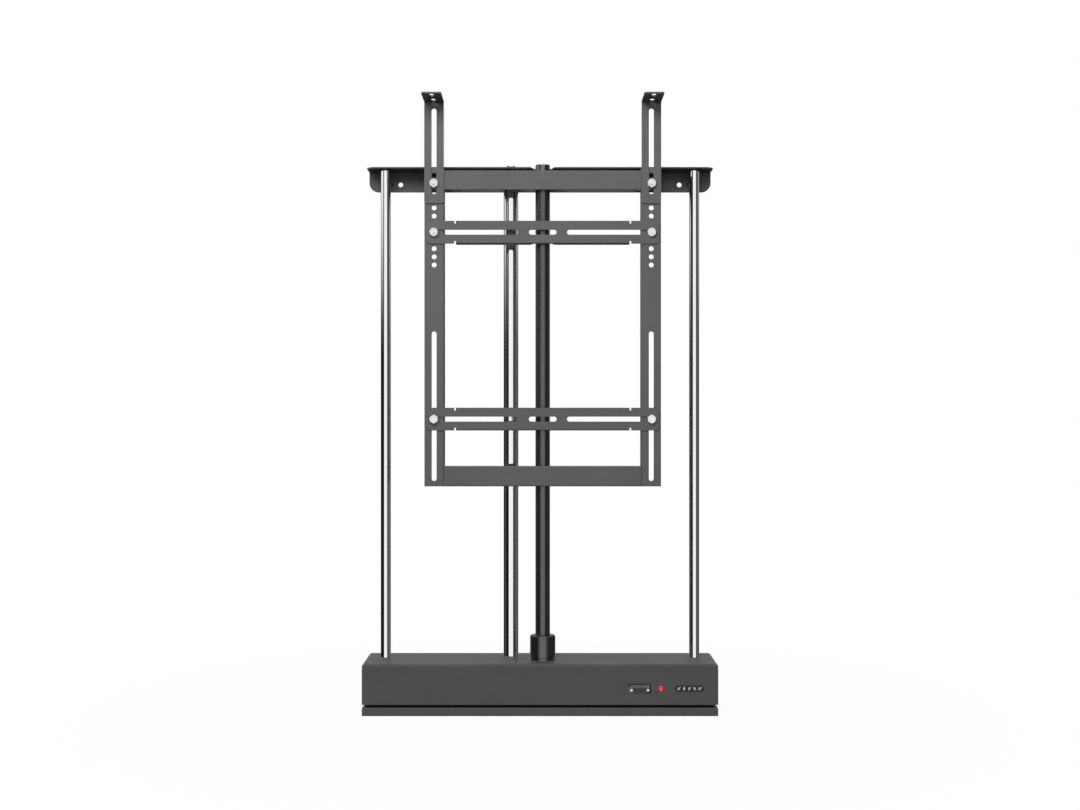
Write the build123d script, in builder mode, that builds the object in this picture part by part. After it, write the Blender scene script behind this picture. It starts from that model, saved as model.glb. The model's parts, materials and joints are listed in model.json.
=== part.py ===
from build123d import *
from math import acos, cos, radians, sin, sqrt, tan
import os

os.makedirs("parts", exist_ok=True)

# A television lift in its lowered position. Millimetres, front towards -Y, +Z up,
# origin at the centre of the base's underside. Left and right are as seen from the front.

# Lift travel and the hanging frame's offset from the base's centre line
stroke = 700.0
frame_shift = 5.0

# Clearances and overruns
cut_over = 5.0
seat_gap = 0.1
running_gap = 0.05
slide_gap = 0.1
sheet_gap = 0.3
rest_gap = 0.5
swing_gap = 1.5

# Base: a pan on the floor, a plinth standing in it, a housing over the plinth
base_width = 650.0
base_height = 94.5
pan_height = 15.0
pan_sheet = 2.5
pan_lip = 6.0
pan_edge_radius = 2.0
groove_height = 5.4
plinth_height = 34.0
plinth_sheet = 2.0
housing_sheet = 2.0
housing_top_radius = 5.0
housing_edge_radius = 2.0
cabinet_hole_span = 260.0
cabinet_hole_depth_span = 92.0
cabinet_hole = 7.0

# Screws that hold the housing to the plinth through spacers
cover_screw = 4.0
cover_screw_head = 7.6
cover_screw_head_height = 2.4
cover_screw_rise = 28.0
sink_taper = 45.0
cover_spacer = 8.0
rear_screw_inset = 40.0
rear_screw_count = 4
end_screw_inset = 30.0
end_screw_count = 2

# Telescopic columns: outer tube, bush, inner rod and the bush at the rod's foot
side_column_y = 19.0
side_tube = 19.0
side_tube_wall = 1.5
side_rod = 14.0
centre_column_x = -54.8
centre_tube = 28.0
centre_tube_wall = 1.5
centre_rod = 22.0
bush_flange = 3.0
bush_length = 28.0
foot_bush_length = 40.0
rod_rise = 25.0
rod_spigot = 10.0
tube_chamfer = 0.5

# Feet that carry the columns on the pan
foot_flange_height = 5.0
foot_boss_wall = 5.0
foot_boss_height = 32.0
foot_depth = 38.0
foot_side_gap = 1.2
foot_back_gap = 2.2
side_foot_width = 52.0
centre_foot_width = 64.0
foot_screw = 5.0
foot_screw_head = 9.0
foot_screw_head_height = 3.0
foot_screw_inset = 7.0
foot_corner = 4.0

# Actuator: fixed tube, collar, lead screw, nut and push tube
actuator_y = -10.0
actuator_tube = 27.0
actuator_wall = 2.0
collar_diameter = 47.0
collar_height = 45.5
collar_chamfer = 2.0
collar_groove = 1.2
collar_groove_height = 4.0
push_tube = 20.0
push_wall = 2.0
screw_diameter = 14.0
screw_journal = 10.0
screw_tip_chamfer = 1.0
screw_reserve = 12.0
nut_rise = 150.0
nut_length = 30.0
nut_spigot_length = 15.0
drive_head_length = 37.0
drive_head_proud = 1.0
drive_head_chamfer = 1.5
drive_head_socket = 20.0
drive_tongue_width = 17.8
drive_tongue_height = 22.0
drive_tongue_reach = 31.0
drive_tongue_drop = 9.0
drive_pin = 8.0
drive_pin_reach = 24.0
drive_pin_head = 13.0
drive_pin_head_height = 4.5
drive_pin_nut_height = 5.5

# Gears under the drive plate: a wheel on the lead screw and a pinion on the motor
gear_module = 2.0
wheel_teeth = 36
pinion_teeth = 18
pressure_angle = 20.0
tooth_backlash = 0.25
addendum_share = 1.0
dedendum_share = 1.25
gear_width = 10.0
gear_rise = 12.0
wheel_hub = 22.0
wheel_hub_height = 3.0
wheel_window = 11.0
wheel_window_count = 6
pinion_hub = 16.0

# Drive plate, bearings and motor
drive_plate_rise = 27.0
drive_plate_sheet = 4.0
drive_plate_width = 134.0
drive_plate_gap = 10.7
drive_plate_corner = 6.0
standoff_reach = 38.0
standoff_wheel_gap = 0.41
standoff_diameter = 11.0
standoff_inset = 8.0
bearing_outer = 26.0
bearing_height = 8.0
bearing_race_wall = 2.6
bearing_ball = 4.0
bearing_ball_count = 8
cup_wall = 4.0
cup_floor = 1.5
cup_flange = 46.0
cup_flange_height = 2.5
tube_foot_flange = 56.0
tube_foot_flange_height = 5.0
tube_foot_height = 30.0
tube_foot_wall = 5.5
motor_diameter = 50.0
motor_height = 56.0
motor_cap_height = 5.0
motor_shaft = 8.0
motor_pilot = 20.0
motor_edge = 1.5

# Electrics: board, supply, inlet and the controls on the front
board_width = 148.0
board_over_foot = 2.0
board_sheet = 1.6
board_rise = 38.0
board_end_inset = 88.0
board_front_gap = 3.0
board_post = 7.0
board_post_inset = 8.5
relay_width = 19.0
relay_depth = 15.5
relay_height = 15.0
relay_pitch = 24.0
capacitor_diameter = 12.5
capacitor_height = 20.0
capacitor_pitch = 18.0
fin_width = 30.0
fin_depth = 14.0
fin_height = 22.0
fin_sheet = 2.0
fin_count = 6
supply_width = 96.0
supply_depth = 82.0
supply_height = 38.0
supply_end_inset = 121.0
supply_vent = 2.5
supply_vent_length = 52.0
supply_vent_pitch = 8.0
supply_vent_count = 8
supply_sheet = 1.2
supply_foot = 8.0
inlet_end_inset = 110.0
inlet_z = 62.0
inlet_flange_width = 50.0
inlet_flange_height = 24.0
inlet_flange_sheet = 3.0
inlet_body_width = 27.4
inlet_body_height = 19.4
inlet_body_depth = 22.0
inlet_pocket_width = 24.4
inlet_pocket_height = 16.4
inlet_pocket_depth = 17.0
inlet_corner = 3.0
inlet_pin_width = 4.0
inlet_pin_height = 2.0
inlet_pin_length = 11.5
inlet_pin_pitch = 7.0
inlet_pin_offset = 2.0
inlet_screw_span = 40.0
inlet_screw = 3.0
inlet_screw_head = 5.6
inlet_screw_head_height = 1.6
control_z = 50.0
socket_end_inset = 143.2
socket_recess_width = 40.8
socket_recess_height = 17.7
socket_recess_corner = 3.0
socket_flange_width = 36.6
socket_flange_height = 13.4
socket_flange_sheet = 1.2
socket_flange_inset = 1.2
socket_shell_width = 25.0
socket_shell_height = 8.3
socket_shell_corner = 2.2
socket_body_depth = 11.0
socket_contact = 1.2
socket_contact_depth = 3.0
socket_contact_pitch = 2.77
socket_row_pitch = 2.84
socket_upper_count = 8
socket_screw_x = 15.0
socket_screw_drop = 2.6
socket_screw = 4.6
socket_screw_height = 2.0
socket_screw_bore = 2.2
led_end_inset = 104.7
led_diameter = 8.4
led_proud = 2.6
led_body = 14.0
led_bezel_gap = 0.3
pedestal_depth = 8.0
terminal_end_inset = 52.5
terminal_pitch = 9.5
terminal_count = 5
terminal_screw = 8.2
terminal_screw_height = 2.0
terminal_slot = 1.4
terminal_slot_depth = 1.0
terminal_well_depth = 2.4
terminal_width = 52.6
terminal_height = 12.4
terminal_depth = 13.0
terminal_inset = 0.4
terminal_angles = (45.0, 90.0, 60.0, -40.0, 35.0)

# Head plate: a folded sheet that rides on the rods
head_top = 1012.0
head_sheet = 2.5
head_front_y = 5.9
head_depth = 56.8
head_drop = 40.0
head_corner = 18.0
head_bend = 3.0
head_notch_width = 45.8
head_notch_floor = 30.7
head_notch_depth = 25.0
head_hole = 9.0
head_hole_inset = 59.6
flange_screw_inset = 39.6
head_hole_drop = 25.6
column_cap = 27.0
column_cap_height = 3.0
column_screw_head = 15.0
column_screw_head_height = 3.0
column_screw_slot = 9.0
column_screw_slot_depth = 1.5
column_screw = 10.0
column_screw_length = 24.0

# Hanging frame: two channel uprights, bars welded between them
upright_span = 400.0
upright_width = 36.0
upright_depth = 38.0
upright_length = 588.0
upright_front_y = -35.5
frame_drop = 7.0
sheet = 2.5
sheet_bend = 2.5
hole_pitch = 15.0
hole_count = 12
hole_diameter = 9.0
slot_width = 9.0
upright_slot_length = 275.5
upright_slot_inset = 10.0
top_bar_height = 35.0
top_bar_inset = 6.0
top_bar_sheet = 4.0
bottom_bar_height = 37.5
bottom_bar_depth = 10.0

# Brackets that tie the frame and the actuator to the head plate
hanger_width = 26.0
hanger_tab = 12.0
hanger_height = 30.0
hanger_front_height = 40.0
hanger_inset = 1.0
bracket_width = 24.0
bracket_sheet = 3.0
bracket_tab = 12.0
bracket_height = 28.0
tie_screw = 6.0
tie_screw_hole = 6.6
tie_screw_head = 10.0
tie_screw_head_height = 4.0
tie_nut_height = 5.0

# Crossbars that the television bolts to
crossbar_overhang = 14.5
crossbar_height = 42.0
crossbar_depth = 24.7
crossbar_corner = 8.0
crossbar_flange_gap = 22.1
crossbar_relief = 3.0
crossbar_relief_depth = 5.0
crossbar_slot_inner = 44.7
crossbar_slot_over = 4.5
crossbar_centre_slot = 51.0
crossbar_notch_width = 49.0
crossbar_notch_floor = 30.0
crossbar_notch_depth = 21.6
upper_crossbar_hole_count = 7
lower_crossbar_rise = 124.0

# Lid brackets on the uprights' second holes
lid_hole_count = 1
lid_sheet = 3.0
lid_height = 189.3
lid_tab_reach = 80.4
lid_web_below = 37.0
lid_corner = 5.0
lid_bend = 2.0
lid_slot_length = 159.2
lid_slot_inset = 15.4
lid_slot_width = 9.2
lid_tab_slot_width = 8.0
lid_tab_slot_length = 24.0
lid_tab_slot_near = 16.4
lid_tab_slot_pitch = 44.1

# Hexagon bolts of the frame
bolt = 8.0
bolt_flats = 14.6
bolt_head_height = 5.6
bolt_chamfer = 0.9
bolt_washer = 16.0
bolt_washer_sheet = 1.2
bolt_nut_height = 6.5
bolt_end = 2.0

# Places worked out from the sizes above
plinth_inside = pan_lip + sheet_gap + plinth_sheet
column_x = base_width / 2 - plinth_inside - foot_side_gap - side_foot_width / 2
drive_plate_depth = 2 * (standoff_reach + standoff_inset)
base_depth = drive_plate_depth + 2 * (plinth_inside + drive_plate_gap)
centre_column_y = base_depth / 2 - plinth_inside - foot_back_gap - foot_depth / 2
socket_x = base_width / 2 - socket_end_inset
led_x = base_width / 2 - led_end_inset
terminal_x = base_width / 2 - terminal_end_inset
board_centre_x = base_width / 2 - board_end_inset
supply_x = supply_end_inset - base_width / 2
inlet_x = inlet_end_inset - base_width / 2
frame_top = head_top - frame_drop
frame_bottom = frame_top - upright_length
web_back_y = upright_front_y + sheet
left_x = frame_shift - upright_span / 2
right_x = frame_shift + upright_span / 2
head_under = head_top - head_sheet
head_back_y = head_front_y + head_depth
head_flange_y = head_back_y - head_sheet
first_hole_z = frame_top - hole_pitch
lid_bolt_z = first_hole_z - lid_hole_count * hole_pitch
upper_crossbar_z = first_hole_z - upper_crossbar_hole_count * hole_pitch
lower_crossbar_z = frame_bottom + lower_crossbar_rise
plate_back_y = upright_front_y - slide_gap
crossbar_front_y = plate_back_y - sheet
lid_front_y = plate_back_y - lid_sheet
drive_top = head_top + drive_head_proud
drive_bottom = drive_top - drive_head_length
side_tube_top = head_under - rest_gap - bush_flange
actuator_tube_top = drive_bottom - rest_gap - bush_flange
plinth_width = base_width - 2 * pan_lip - 2 * sheet_gap
plinth_depth = base_depth - 2 * pan_lip - 2 * sheet_gap
housing_bottom = pan_height + groove_height
foot_floor_z = pan_sheet + foot_flange_height
gear_distance = gear_module * (wheel_teeth + pinion_teeth) / 2
motor_x = frame_shift + gear_distance
plate_top = drive_plate_rise + drive_plate_sheet
wall_front_y = -base_depth / 2
wall_back_y = base_depth / 2
inner_front_y = wall_front_y + housing_sheet
sink_depth = (cover_screw_head - cover_screw) / 2
board_front_y = inner_front_y + board_front_gap
board_top = board_rise + board_sheet
board_depth = side_column_y - foot_depth / 2 + board_over_foot - board_front_y
wheel_outer = gear_module * (wheel_teeth / 2 + addendum_share)
standoff_lead = sqrt((wheel_outer + standoff_diameter / 2 + standoff_wheel_gap) ** 2 - standoff_reach**2)
crossbar_length = upright_span + 2 * crossbar_overhang
crossbar_flange_span = upright_span - upright_width - 2 * crossbar_flange_gap
crossbar_slot_outer = upright_span / 2 + crossbar_slot_over


def save(piece, label):
    piece.part.label = label
    export_step(piece.part, "parts/" + label + ".step")


def facing_front(y):
    """The upright plane at this y whose normal points to the front."""
    return Plane.XZ.offset(-y)


def facing_right(x):
    """The upright plane at this x whose normal points to the right."""
    return Plane.YZ.offset(x)


def at(x, y, z):
    """The level plane with its origin at this place."""
    return Plane(origin=(x, y, z))


def make_turned(label, turned):
    """Turned pieces on upright axes: (x, y, z, outline) with the outline's (radius, height) points."""
    with BuildPart() as piece:
        for x, y, z, outline in turned:
            with BuildSketch(Plane(origin=(x, y, z), x_dir=(1, 0, 0), z_dir=(0, -1, 0))):
                with BuildLine():
                    Polyline(*outline, close=True)
                make_face()
            revolve(axis=Axis((x, y, z), (0, 0, 1)))
    save(piece, label)


# Base

def rear_screw_places():
    first = rear_screw_inset - base_width / 2
    pitch = (base_width - 2 * rear_screw_inset) / (rear_screw_count - 1)
    return [(first + i * pitch, cover_screw_rise) for i in range(rear_screw_count)]


def end_screw_places():
    first = end_screw_inset - base_depth / 2
    pitch = (base_depth - 2 * end_screw_inset) / (end_screw_count - 1)
    return [(first + i * pitch, cover_screw_rise) for i in range(end_screw_count)]


def cabinet_holes():
    return GridLocations(cabinet_hole_span, cabinet_hole_depth_span, 2, 2)


def inlet_screw_places():
    return [(inlet_x - inlet_screw_span / 2, inlet_z), (inlet_x + inlet_screw_span / 2, inlet_z)]


def socket_screw_places():
    z = control_z - socket_screw_drop
    return [(socket_x - socket_screw_x, z), (socket_x + socket_screw_x, z)]


def foot_screw_places(x, y, width):
    reach = width / 2 - foot_screw_inset
    return [(x - reach, y), (x + reach, y)]


def all_foot_screws():
    return (
        foot_screw_places(-column_x, side_column_y, side_foot_width)
        + foot_screw_places(column_x, side_column_y, side_foot_width)
        + foot_screw_places(centre_column_x, centre_column_y, centre_foot_width)
    )


def make_base_pan():
    with BuildPart() as pan:
        with BuildSketch():
            Rectangle(base_width, base_depth)
        extrude(amount=pan_height)
        fillet(pan.edges().filter_by(Axis.Z), pan_edge_radius)
        fillet(pan.faces().sort_by(Axis.Z)[-1].edges(), pan_edge_radius)
        with BuildSketch(Plane.XY.offset(pan_sheet)):
            Rectangle(base_width - 2 * pan_sheet, base_depth - 2 * pan_sheet)
        extrude(amount=pan_height - 2 * pan_sheet, mode=Mode.SUBTRACT)
        with BuildSketch(Plane.XY.offset(pan_sheet)):
            Rectangle(base_width - 2 * pan_lip, base_depth - 2 * pan_lip)
        extrude(amount=pan_height, mode=Mode.SUBTRACT)
        with BuildSketch(Plane.XY.offset(pan_sheet)):
            with cabinet_holes():
                Circle(cabinet_hole / 2)
            with Locations(*all_foot_screws()):
                Circle(foot_screw / 2 + seat_gap)
        extrude(amount=-pan_sheet, mode=Mode.SUBTRACT)
    save(pan, "base_pan")


def make_plinth():
    with BuildPart() as plinth:
        with BuildSketch(Plane.XY.offset(pan_sheet)):
            Rectangle(plinth_width, plinth_depth)
            Rectangle(plinth_width - 2 * plinth_sheet, plinth_depth - 2 * plinth_sheet, mode=Mode.SUBTRACT)
        extrude(amount=plinth_height - pan_sheet)
        with BuildSketch(facing_front(plinth_depth / 2)):
            with Locations(*rear_screw_places()):
                Circle(cover_screw / 2 + seat_gap)
        extrude(amount=plinth_sheet, mode=Mode.SUBTRACT)
        with BuildSketch(facing_right(-plinth_width / 2)):
            with Locations(*end_screw_places()):
                Circle(cover_screw / 2 + seat_gap)
        extrude(amount=plinth_width, mode=Mode.SUBTRACT)
    save(plinth, "plinth_frame")


def make_housing():
    with BuildPart() as housing:
        with BuildSketch(Plane.XY.offset(housing_bottom)):
            Rectangle(base_width, base_depth)
        extrude(amount=base_height - housing_bottom)
        fillet(housing.edges().filter_by(Axis.Z), housing_edge_radius)
        fillet(housing.faces().sort_by(Axis.Z)[-1].edges(), housing_top_radius)
        with BuildSketch(Plane.XY.offset(housing_bottom)):
            Rectangle(base_width - 2 * housing_sheet, base_depth - 2 * housing_sheet)
        extrude(amount=base_height - housing_bottom - housing_sheet, mode=Mode.SUBTRACT)
        with BuildSketch(Plane.XY.offset(base_height)):
            with Locations((-column_x, side_column_y), (column_x, side_column_y)):
                Circle(side_tube / 2 + sheet_gap)
            with Locations((centre_column_x, centre_column_y)):
                Circle(centre_tube / 2 + sheet_gap)
            with Locations((frame_shift, actuator_y)):
                Circle(actuator_tube / 2 + sheet_gap)
        extrude(amount=-housing_sheet - cut_over, mode=Mode.SUBTRACT)
        with BuildSketch(facing_front(wall_front_y)):
            with Locations((socket_x, control_z)):
                RectangleRounded(socket_recess_width, socket_recess_height, socket_recess_corner)
            with Locations((led_x, control_z)):
                Circle(led_diameter / 2 + led_bezel_gap)
            with Locations((terminal_x, control_z)):
                SlotOverall(terminal_width + 2 * seat_gap, terminal_height + 2 * seat_gap)
        extrude(amount=-housing_sheet, mode=Mode.SUBTRACT)
        with BuildSketch(facing_front(wall_back_y)):
            with Locations(*rear_screw_places()):
                Circle(cover_screw / 2 + seat_gap)
            with Locations((inlet_x, inlet_z)):
                Rectangle(inlet_body_width + 2 * seat_gap, inlet_body_height + 2 * seat_gap)
            with Locations(*inlet_screw_places()):
                Circle(inlet_screw / 2 + seat_gap)
        extrude(amount=housing_sheet, mode=Mode.SUBTRACT)
        for side in (-1, 1):
            with BuildSketch(facing_right(side * base_width / 2)):
                with Locations(*end_screw_places()):
                    Circle(cover_screw_head / 2 + seat_gap)
            extrude(amount=-side * (sink_depth + seat_gap), taper=sink_taper, mode=Mode.SUBTRACT)
            with BuildSketch(facing_right(side * base_width / 2)):
                with Locations(*end_screw_places()):
                    Circle(cover_screw / 2 + seat_gap)
            extrude(amount=-side * housing_sheet, mode=Mode.SUBTRACT)
    save(housing, "base_housing")


def make_cover_screws():
    spacer_depth = (base_depth - plinth_depth) / 2 - housing_sheet
    spacer_width = (base_width - plinth_width) / 2 - housing_sheet
    shank = spacer_depth + housing_sheet + plinth_sheet
    rear_plane = facing_front(wall_back_y)
    with BuildPart() as screws:
        with BuildSketch(rear_plane):
            with Locations(*rear_screw_places()):
                Circle(cover_screw_head / 2)
        extrude(amount=-cover_screw_head_height)
        with BuildSketch(rear_plane):
            with Locations(*rear_screw_places()):
                Circle(cover_screw / 2)
        extrude(amount=shank)
        for side in (-1, 1):
            with BuildSketch(facing_right(side * base_width / 2)):
                with Locations(*end_screw_places()):
                    Circle(cover_screw_head / 2)
            extrude(amount=-side * sink_depth, taper=sink_taper)
            with BuildSketch(facing_right(side * base_width / 2)):
                with Locations(*end_screw_places()):
                    Circle(cover_screw / 2)
            extrude(amount=-side * shank)
    save(screws, "housing_screws")
    with BuildPart() as spacers:
        with BuildSketch(facing_front(plinth_depth / 2)):
            with Locations(*rear_screw_places()):
                Circle(cover_spacer / 2)
                Circle(cover_screw / 2 + seat_gap, mode=Mode.SUBTRACT)
        extrude(amount=-spacer_depth)
        for side in (-1, 1):
            with BuildSketch(facing_right(side * plinth_width / 2)):
                with Locations(*end_screw_places()):
                    Circle(cover_spacer / 2)
                    Circle(cover_screw / 2 + seat_gap, mode=Mode.SUBTRACT)
            extrude(amount=side * spacer_width)
    save(spacers, "housing_spacers")


# Columns

def make_column_feet():
    places = (
        (-column_x, side_column_y, side_foot_width, side_tube),
        (column_x, side_column_y, side_foot_width, side_tube),
        (centre_column_x, centre_column_y, centre_foot_width, centre_tube),
    )
    with BuildPart() as feet:
        for x, y, width, tube in places:
            with BuildSketch(at(x, y, pan_sheet)):
                RectangleRounded(width, foot_depth, foot_corner)
            extrude(amount=foot_flange_height)
            with BuildSketch(at(x, y, foot_floor_z)):
                Circle(tube / 2 + foot_boss_wall)
            extrude(amount=foot_boss_height - foot_flange_height)
        for x, y, width, tube in places:
            with BuildSketch(at(x, y, foot_floor_z)):
                Circle(tube / 2 + seat_gap)
            extrude(amount=foot_boss_height, mode=Mode.SUBTRACT)
        with BuildSketch(Plane.XY.offset(pan_sheet)):
            with Locations(*all_foot_screws()):
                Circle(foot_screw / 2 + seat_gap)
        extrude(amount=foot_flange_height, mode=Mode.SUBTRACT)
    save(feet, "column_feet")
    with BuildPart() as screws:
        with BuildSketch(Plane.XY.offset(foot_floor_z)):
            with Locations(*all_foot_screws()):
                Circle(foot_screw_head / 2)
        extrude(amount=foot_screw_head_height)
        with BuildSketch(Plane.XY.offset(foot_floor_z)):
            with Locations(*all_foot_screws()):
                Circle(foot_screw / 2)
        extrude(amount=-foot_flange_height - pan_sheet / 2)
    save(screws, "foot_screws")


def make_outer_tube(label, x, y, tube, wall, bottom, top):
    with BuildPart() as piece:
        with BuildSketch(at(x, y, bottom)):
            Circle(tube / 2)
            Circle(tube / 2 - wall, mode=Mode.SUBTRACT)
        extrude(amount=top - bottom)
    save(piece, label)


def bush_outline(tube, wall, rod):
    outer = tube / 2
    sleeve = tube / 2 - wall - running_gap
    bore = rod / 2 + running_gap
    drop = bush_flange - bush_length
    return (
        (bore, drop),
        (sleeve, drop),
        (sleeve, 0),
        (outer, 0),
        (outer, bush_flange - tube_chamfer),
        (outer - tube_chamfer, bush_flange),
        (bore, bush_flange),
    )


def make_inner_rod(label, x, y, rod, spigot):
    bottom = foot_floor_z + rod_rise
    rise = head_under - bottom
    edge = rod / 2
    outline = [(0, 0), (edge - tube_chamfer, 0), (edge, tube_chamfer), (edge, rise)]
    if spigot:
        outline += [(spigot / 2, rise), (spigot / 2, rise + head_sheet), (0, rise + head_sheet)]
    else:
        tap = column_screw / 2 + seat_gap
        depth = rise - column_screw_length
        outline += [(tap, rise), (tap, depth), (0, depth)]
    make_turned(label, [(x, y, bottom, outline)])


def foot_bush_outline(tube, wall, rod):
    outer = tube / 2 - wall - running_gap
    bore = rod / 2 + seat_gap
    return ((bore, 0), (outer, 0), (outer, foot_bush_length), (bore, foot_bush_length))


def make_columns():
    columns = (
        (-column_x, side_column_y, side_tube, side_tube_wall, side_rod),
        (column_x, side_column_y, side_tube, side_tube_wall, side_rod),
        (centre_column_x, centre_column_y, centre_tube, centre_tube_wall, centre_rod),
    )
    names = ("side_tube_left", "side_tube_right", "centre_tube")
    for name, (x, y, tube, wall, rod) in zip(names, columns):
        make_outer_tube(name, x, y, tube, wall, foot_floor_z, side_tube_top)
    make_turned(
        "column_bushes",
        [(x, y, side_tube_top, bush_outline(tube, wall, rod)) for x, y, tube, wall, rod in columns],
    )
    make_turned(
        "rod_foot_bushes",
        [
            (x, y, foot_floor_z + rod_rise, foot_bush_outline(tube, wall, rod))
            for x, y, tube, wall, rod in columns
        ],
    )
    make_inner_rod("side_rod_left", -column_x, side_column_y, side_rod, rod_spigot)
    make_inner_rod("side_rod_right", column_x, side_column_y, side_rod, rod_spigot)
    make_inner_rod("centre_rod", centre_column_x, centre_column_y, centre_rod, 0)


def make_column_screw():
    head_z = head_top + column_cap_height
    with BuildPart() as cap:
        with BuildSketch(at(centre_column_x, centre_column_y, head_top)):
            Circle(column_cap / 2)
        extrude(amount=column_cap_height)
        chamfer(cap.faces().sort_by(Axis.Z)[-1].edges(), column_cap_height / 3)
        with BuildSketch(at(centre_column_x, centre_column_y, head_z)):
            Circle(column_screw_head / 2)
        extrude(amount=column_screw_head_height)
        with BuildSketch(at(centre_column_x, centre_column_y, head_z + column_screw_head_height)):
            Rectangle(column_screw_slot, column_screw_head + cut_over)
        extrude(amount=-column_screw_slot_depth, mode=Mode.SUBTRACT)
        with BuildSketch(at(centre_column_x, centre_column_y, head_top)):
            Circle(column_screw / 2)
        extrude(amount=-column_screw_length)
    save(cap, "centre_column_screw")


# Actuator

def make_actuator():
    x, y = frame_shift, actuator_y
    tube_bottom = plate_top + tube_foot_flange_height + bearing_height
    make_outer_tube("actuator_tube", x, y, actuator_tube, actuator_wall, tube_bottom, actuator_tube_top)
    bush = bush_outline(actuator_tube, actuator_wall, push_tube)
    make_turned("actuator_bush", [(x, y, actuator_tube_top, bush)])

    bore = actuator_tube / 2 + seat_gap
    edge = collar_diameter / 2
    collar = (
        (bore, 0),
        (edge - collar_groove, 0),
        (edge - collar_groove, collar_groove_height),
        (edge, collar_groove_height + collar_groove),
        (edge, collar_height - collar_chamfer),
        (edge - collar_chamfer, collar_height),
        (bore, collar_height),
    )
    make_turned("actuator_collar", [(x, y, base_height, collar)])

    push_bottom = nut_rise + nut_length
    push_top = drive_bottom + drive_head_socket
    with BuildPart() as push:
        with BuildSketch(at(x, y, push_bottom)):
            Circle(push_tube / 2)
            Circle(push_tube / 2 - push_wall, mode=Mode.SUBTRACT)
        extrude(amount=push_top - push_bottom)
    save(push, "push_tube")

    nut_outer = actuator_tube / 2 - actuator_wall - running_gap
    nut_bore = screw_diameter / 2 + running_gap
    nut_spigot = push_tube / 2 - push_wall - running_gap
    nut = (
        (nut_bore, 0),
        (nut_outer, 0),
        (nut_outer, nut_length),
        (nut_spigot, nut_length),
        (nut_spigot, nut_length + nut_spigot_length),
        (nut_bore, nut_length + nut_spigot_length),
    )
    make_turned("drive_nut", [(x, y, nut_rise, nut)])

    screw_bottom = pan_sheet + cup_floor
    thread_start = plate_top + tube_foot_flange_height + bearing_height + swing_gap
    screw_top = nut_rise + nut_length + nut_spigot_length + stroke + screw_reserve
    journal = screw_journal / 2
    body = screw_diameter / 2
    screw = (
        (0, 0),
        (journal, 0),
        (journal, thread_start - screw_bottom),
        (body, thread_start - screw_bottom),
        (body, screw_top - screw_bottom - screw_tip_chamfer),
        (body - screw_tip_chamfer, screw_top - screw_bottom),
        (0, screw_top - screw_bottom),
    )
    make_turned("lead_screw", [(x, y, screw_bottom, screw)])


def make_drive_head():
    tongue_mid = drive_top - drive_tongue_drop - drive_tongue_height / 2
    with BuildPart() as head:
        with BuildSketch(at(frame_shift, actuator_y, drive_bottom)):
            Circle(actuator_tube / 2)
        extrude(amount=drive_head_length)
        chamfer(head.faces().sort_by(Axis.Z)[-1].edges(), drive_head_chamfer)
        with BuildSketch(Plane(origin=(frame_shift, actuator_y, tongue_mid - drive_tongue_height / 2))):
            Rectangle(drive_tongue_width, drive_tongue_reach, align=(Align.CENTER, Align.MIN))
        extrude(amount=drive_tongue_height)
        with BuildSketch(at(frame_shift, actuator_y, drive_bottom)):
            Circle(push_tube / 2 + seat_gap)
        extrude(amount=drive_head_socket, mode=Mode.SUBTRACT)
        with BuildSketch(facing_right(frame_shift - drive_tongue_width)):
            with Locations((actuator_y + drive_pin_reach, tongue_mid)):
                Circle(drive_pin / 2 + seat_gap)
        extrude(amount=2 * drive_tongue_width, mode=Mode.SUBTRACT)
    save(head, "drive_head")

    back_y = head_flange_y
    cheek_front = actuator_y + actuator_tube / 2 + swing_gap
    top = head_under
    half = bracket_width / 2
    with BuildPart() as bracket:
        with BuildSketch(Plane.XY.offset(top - bracket_height)):
            for side in (-1, 1):
                cheek_x = frame_shift + side * (half - bracket_sheet / 2)
                with Locations((cheek_x, (cheek_front + back_y) / 2)):
                    Rectangle(bracket_sheet, back_y - cheek_front)
                with Locations((frame_shift + side * (half + bracket_tab / 2), back_y - bracket_sheet / 2)):
                    Rectangle(bracket_tab, bracket_sheet)
        extrude(amount=bracket_height)
        web_front = actuator_y + drive_tongue_reach + swing_gap
        with BuildSketch(Plane.XY.offset(top - bracket_sheet)):
            with Locations((frame_shift, (web_front + back_y) / 2)):
                Rectangle(bracket_width, back_y - web_front)
        extrude(amount=bracket_sheet)
        with BuildSketch(facing_right(frame_shift - bracket_width)):
            with Locations((actuator_y + drive_pin_reach, tongue_mid)):
                Circle(drive_pin / 2 + seat_gap)
        extrude(amount=2 * bracket_width, mode=Mode.SUBTRACT)
        with BuildSketch(facing_front(back_y)):
            with Locations(*bracket_screw_places()):
                Circle(tie_screw_hole / 2)
        extrude(amount=bracket_sheet, mode=Mode.SUBTRACT)
    save(bracket, "drive_bracket")

    with BuildPart() as pin:
        with BuildSketch(facing_right(frame_shift - half)):
            with Locations((actuator_y + drive_pin_reach, tongue_mid)):
                Circle(drive_pin / 2)
        extrude(amount=bracket_width)
        with BuildSketch(facing_right(frame_shift - half)):
            with Locations((actuator_y + drive_pin_reach, tongue_mid)):
                RegularPolygon(drive_pin_head / 2, side_count=6, major_radius=False)
        extrude(amount=-drive_pin_head_height)
        with BuildSketch(facing_right(frame_shift + half)):
            with Locations((actuator_y + drive_pin_reach, tongue_mid)):
                RegularPolygon(drive_pin_head / 2, side_count=6, major_radius=False)
        extrude(amount=drive_pin_nut_height)
    save(pin, "drive_pin")


# Gears

def involute(angle):
    return tan(angle) - angle


def tooth_half_angle(radius, pitch_radius, base_radius, teeth):
    thick = radians(90 / teeth) - tooth_backlash / (4 * pitch_radius)
    slope = acos(min(base_radius / radius, 1))
    return thick + involute(radians(pressure_angle)) - involute(slope)


def polar(radius, angle):
    return (radius * cos(angle), radius * sin(angle))


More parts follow.
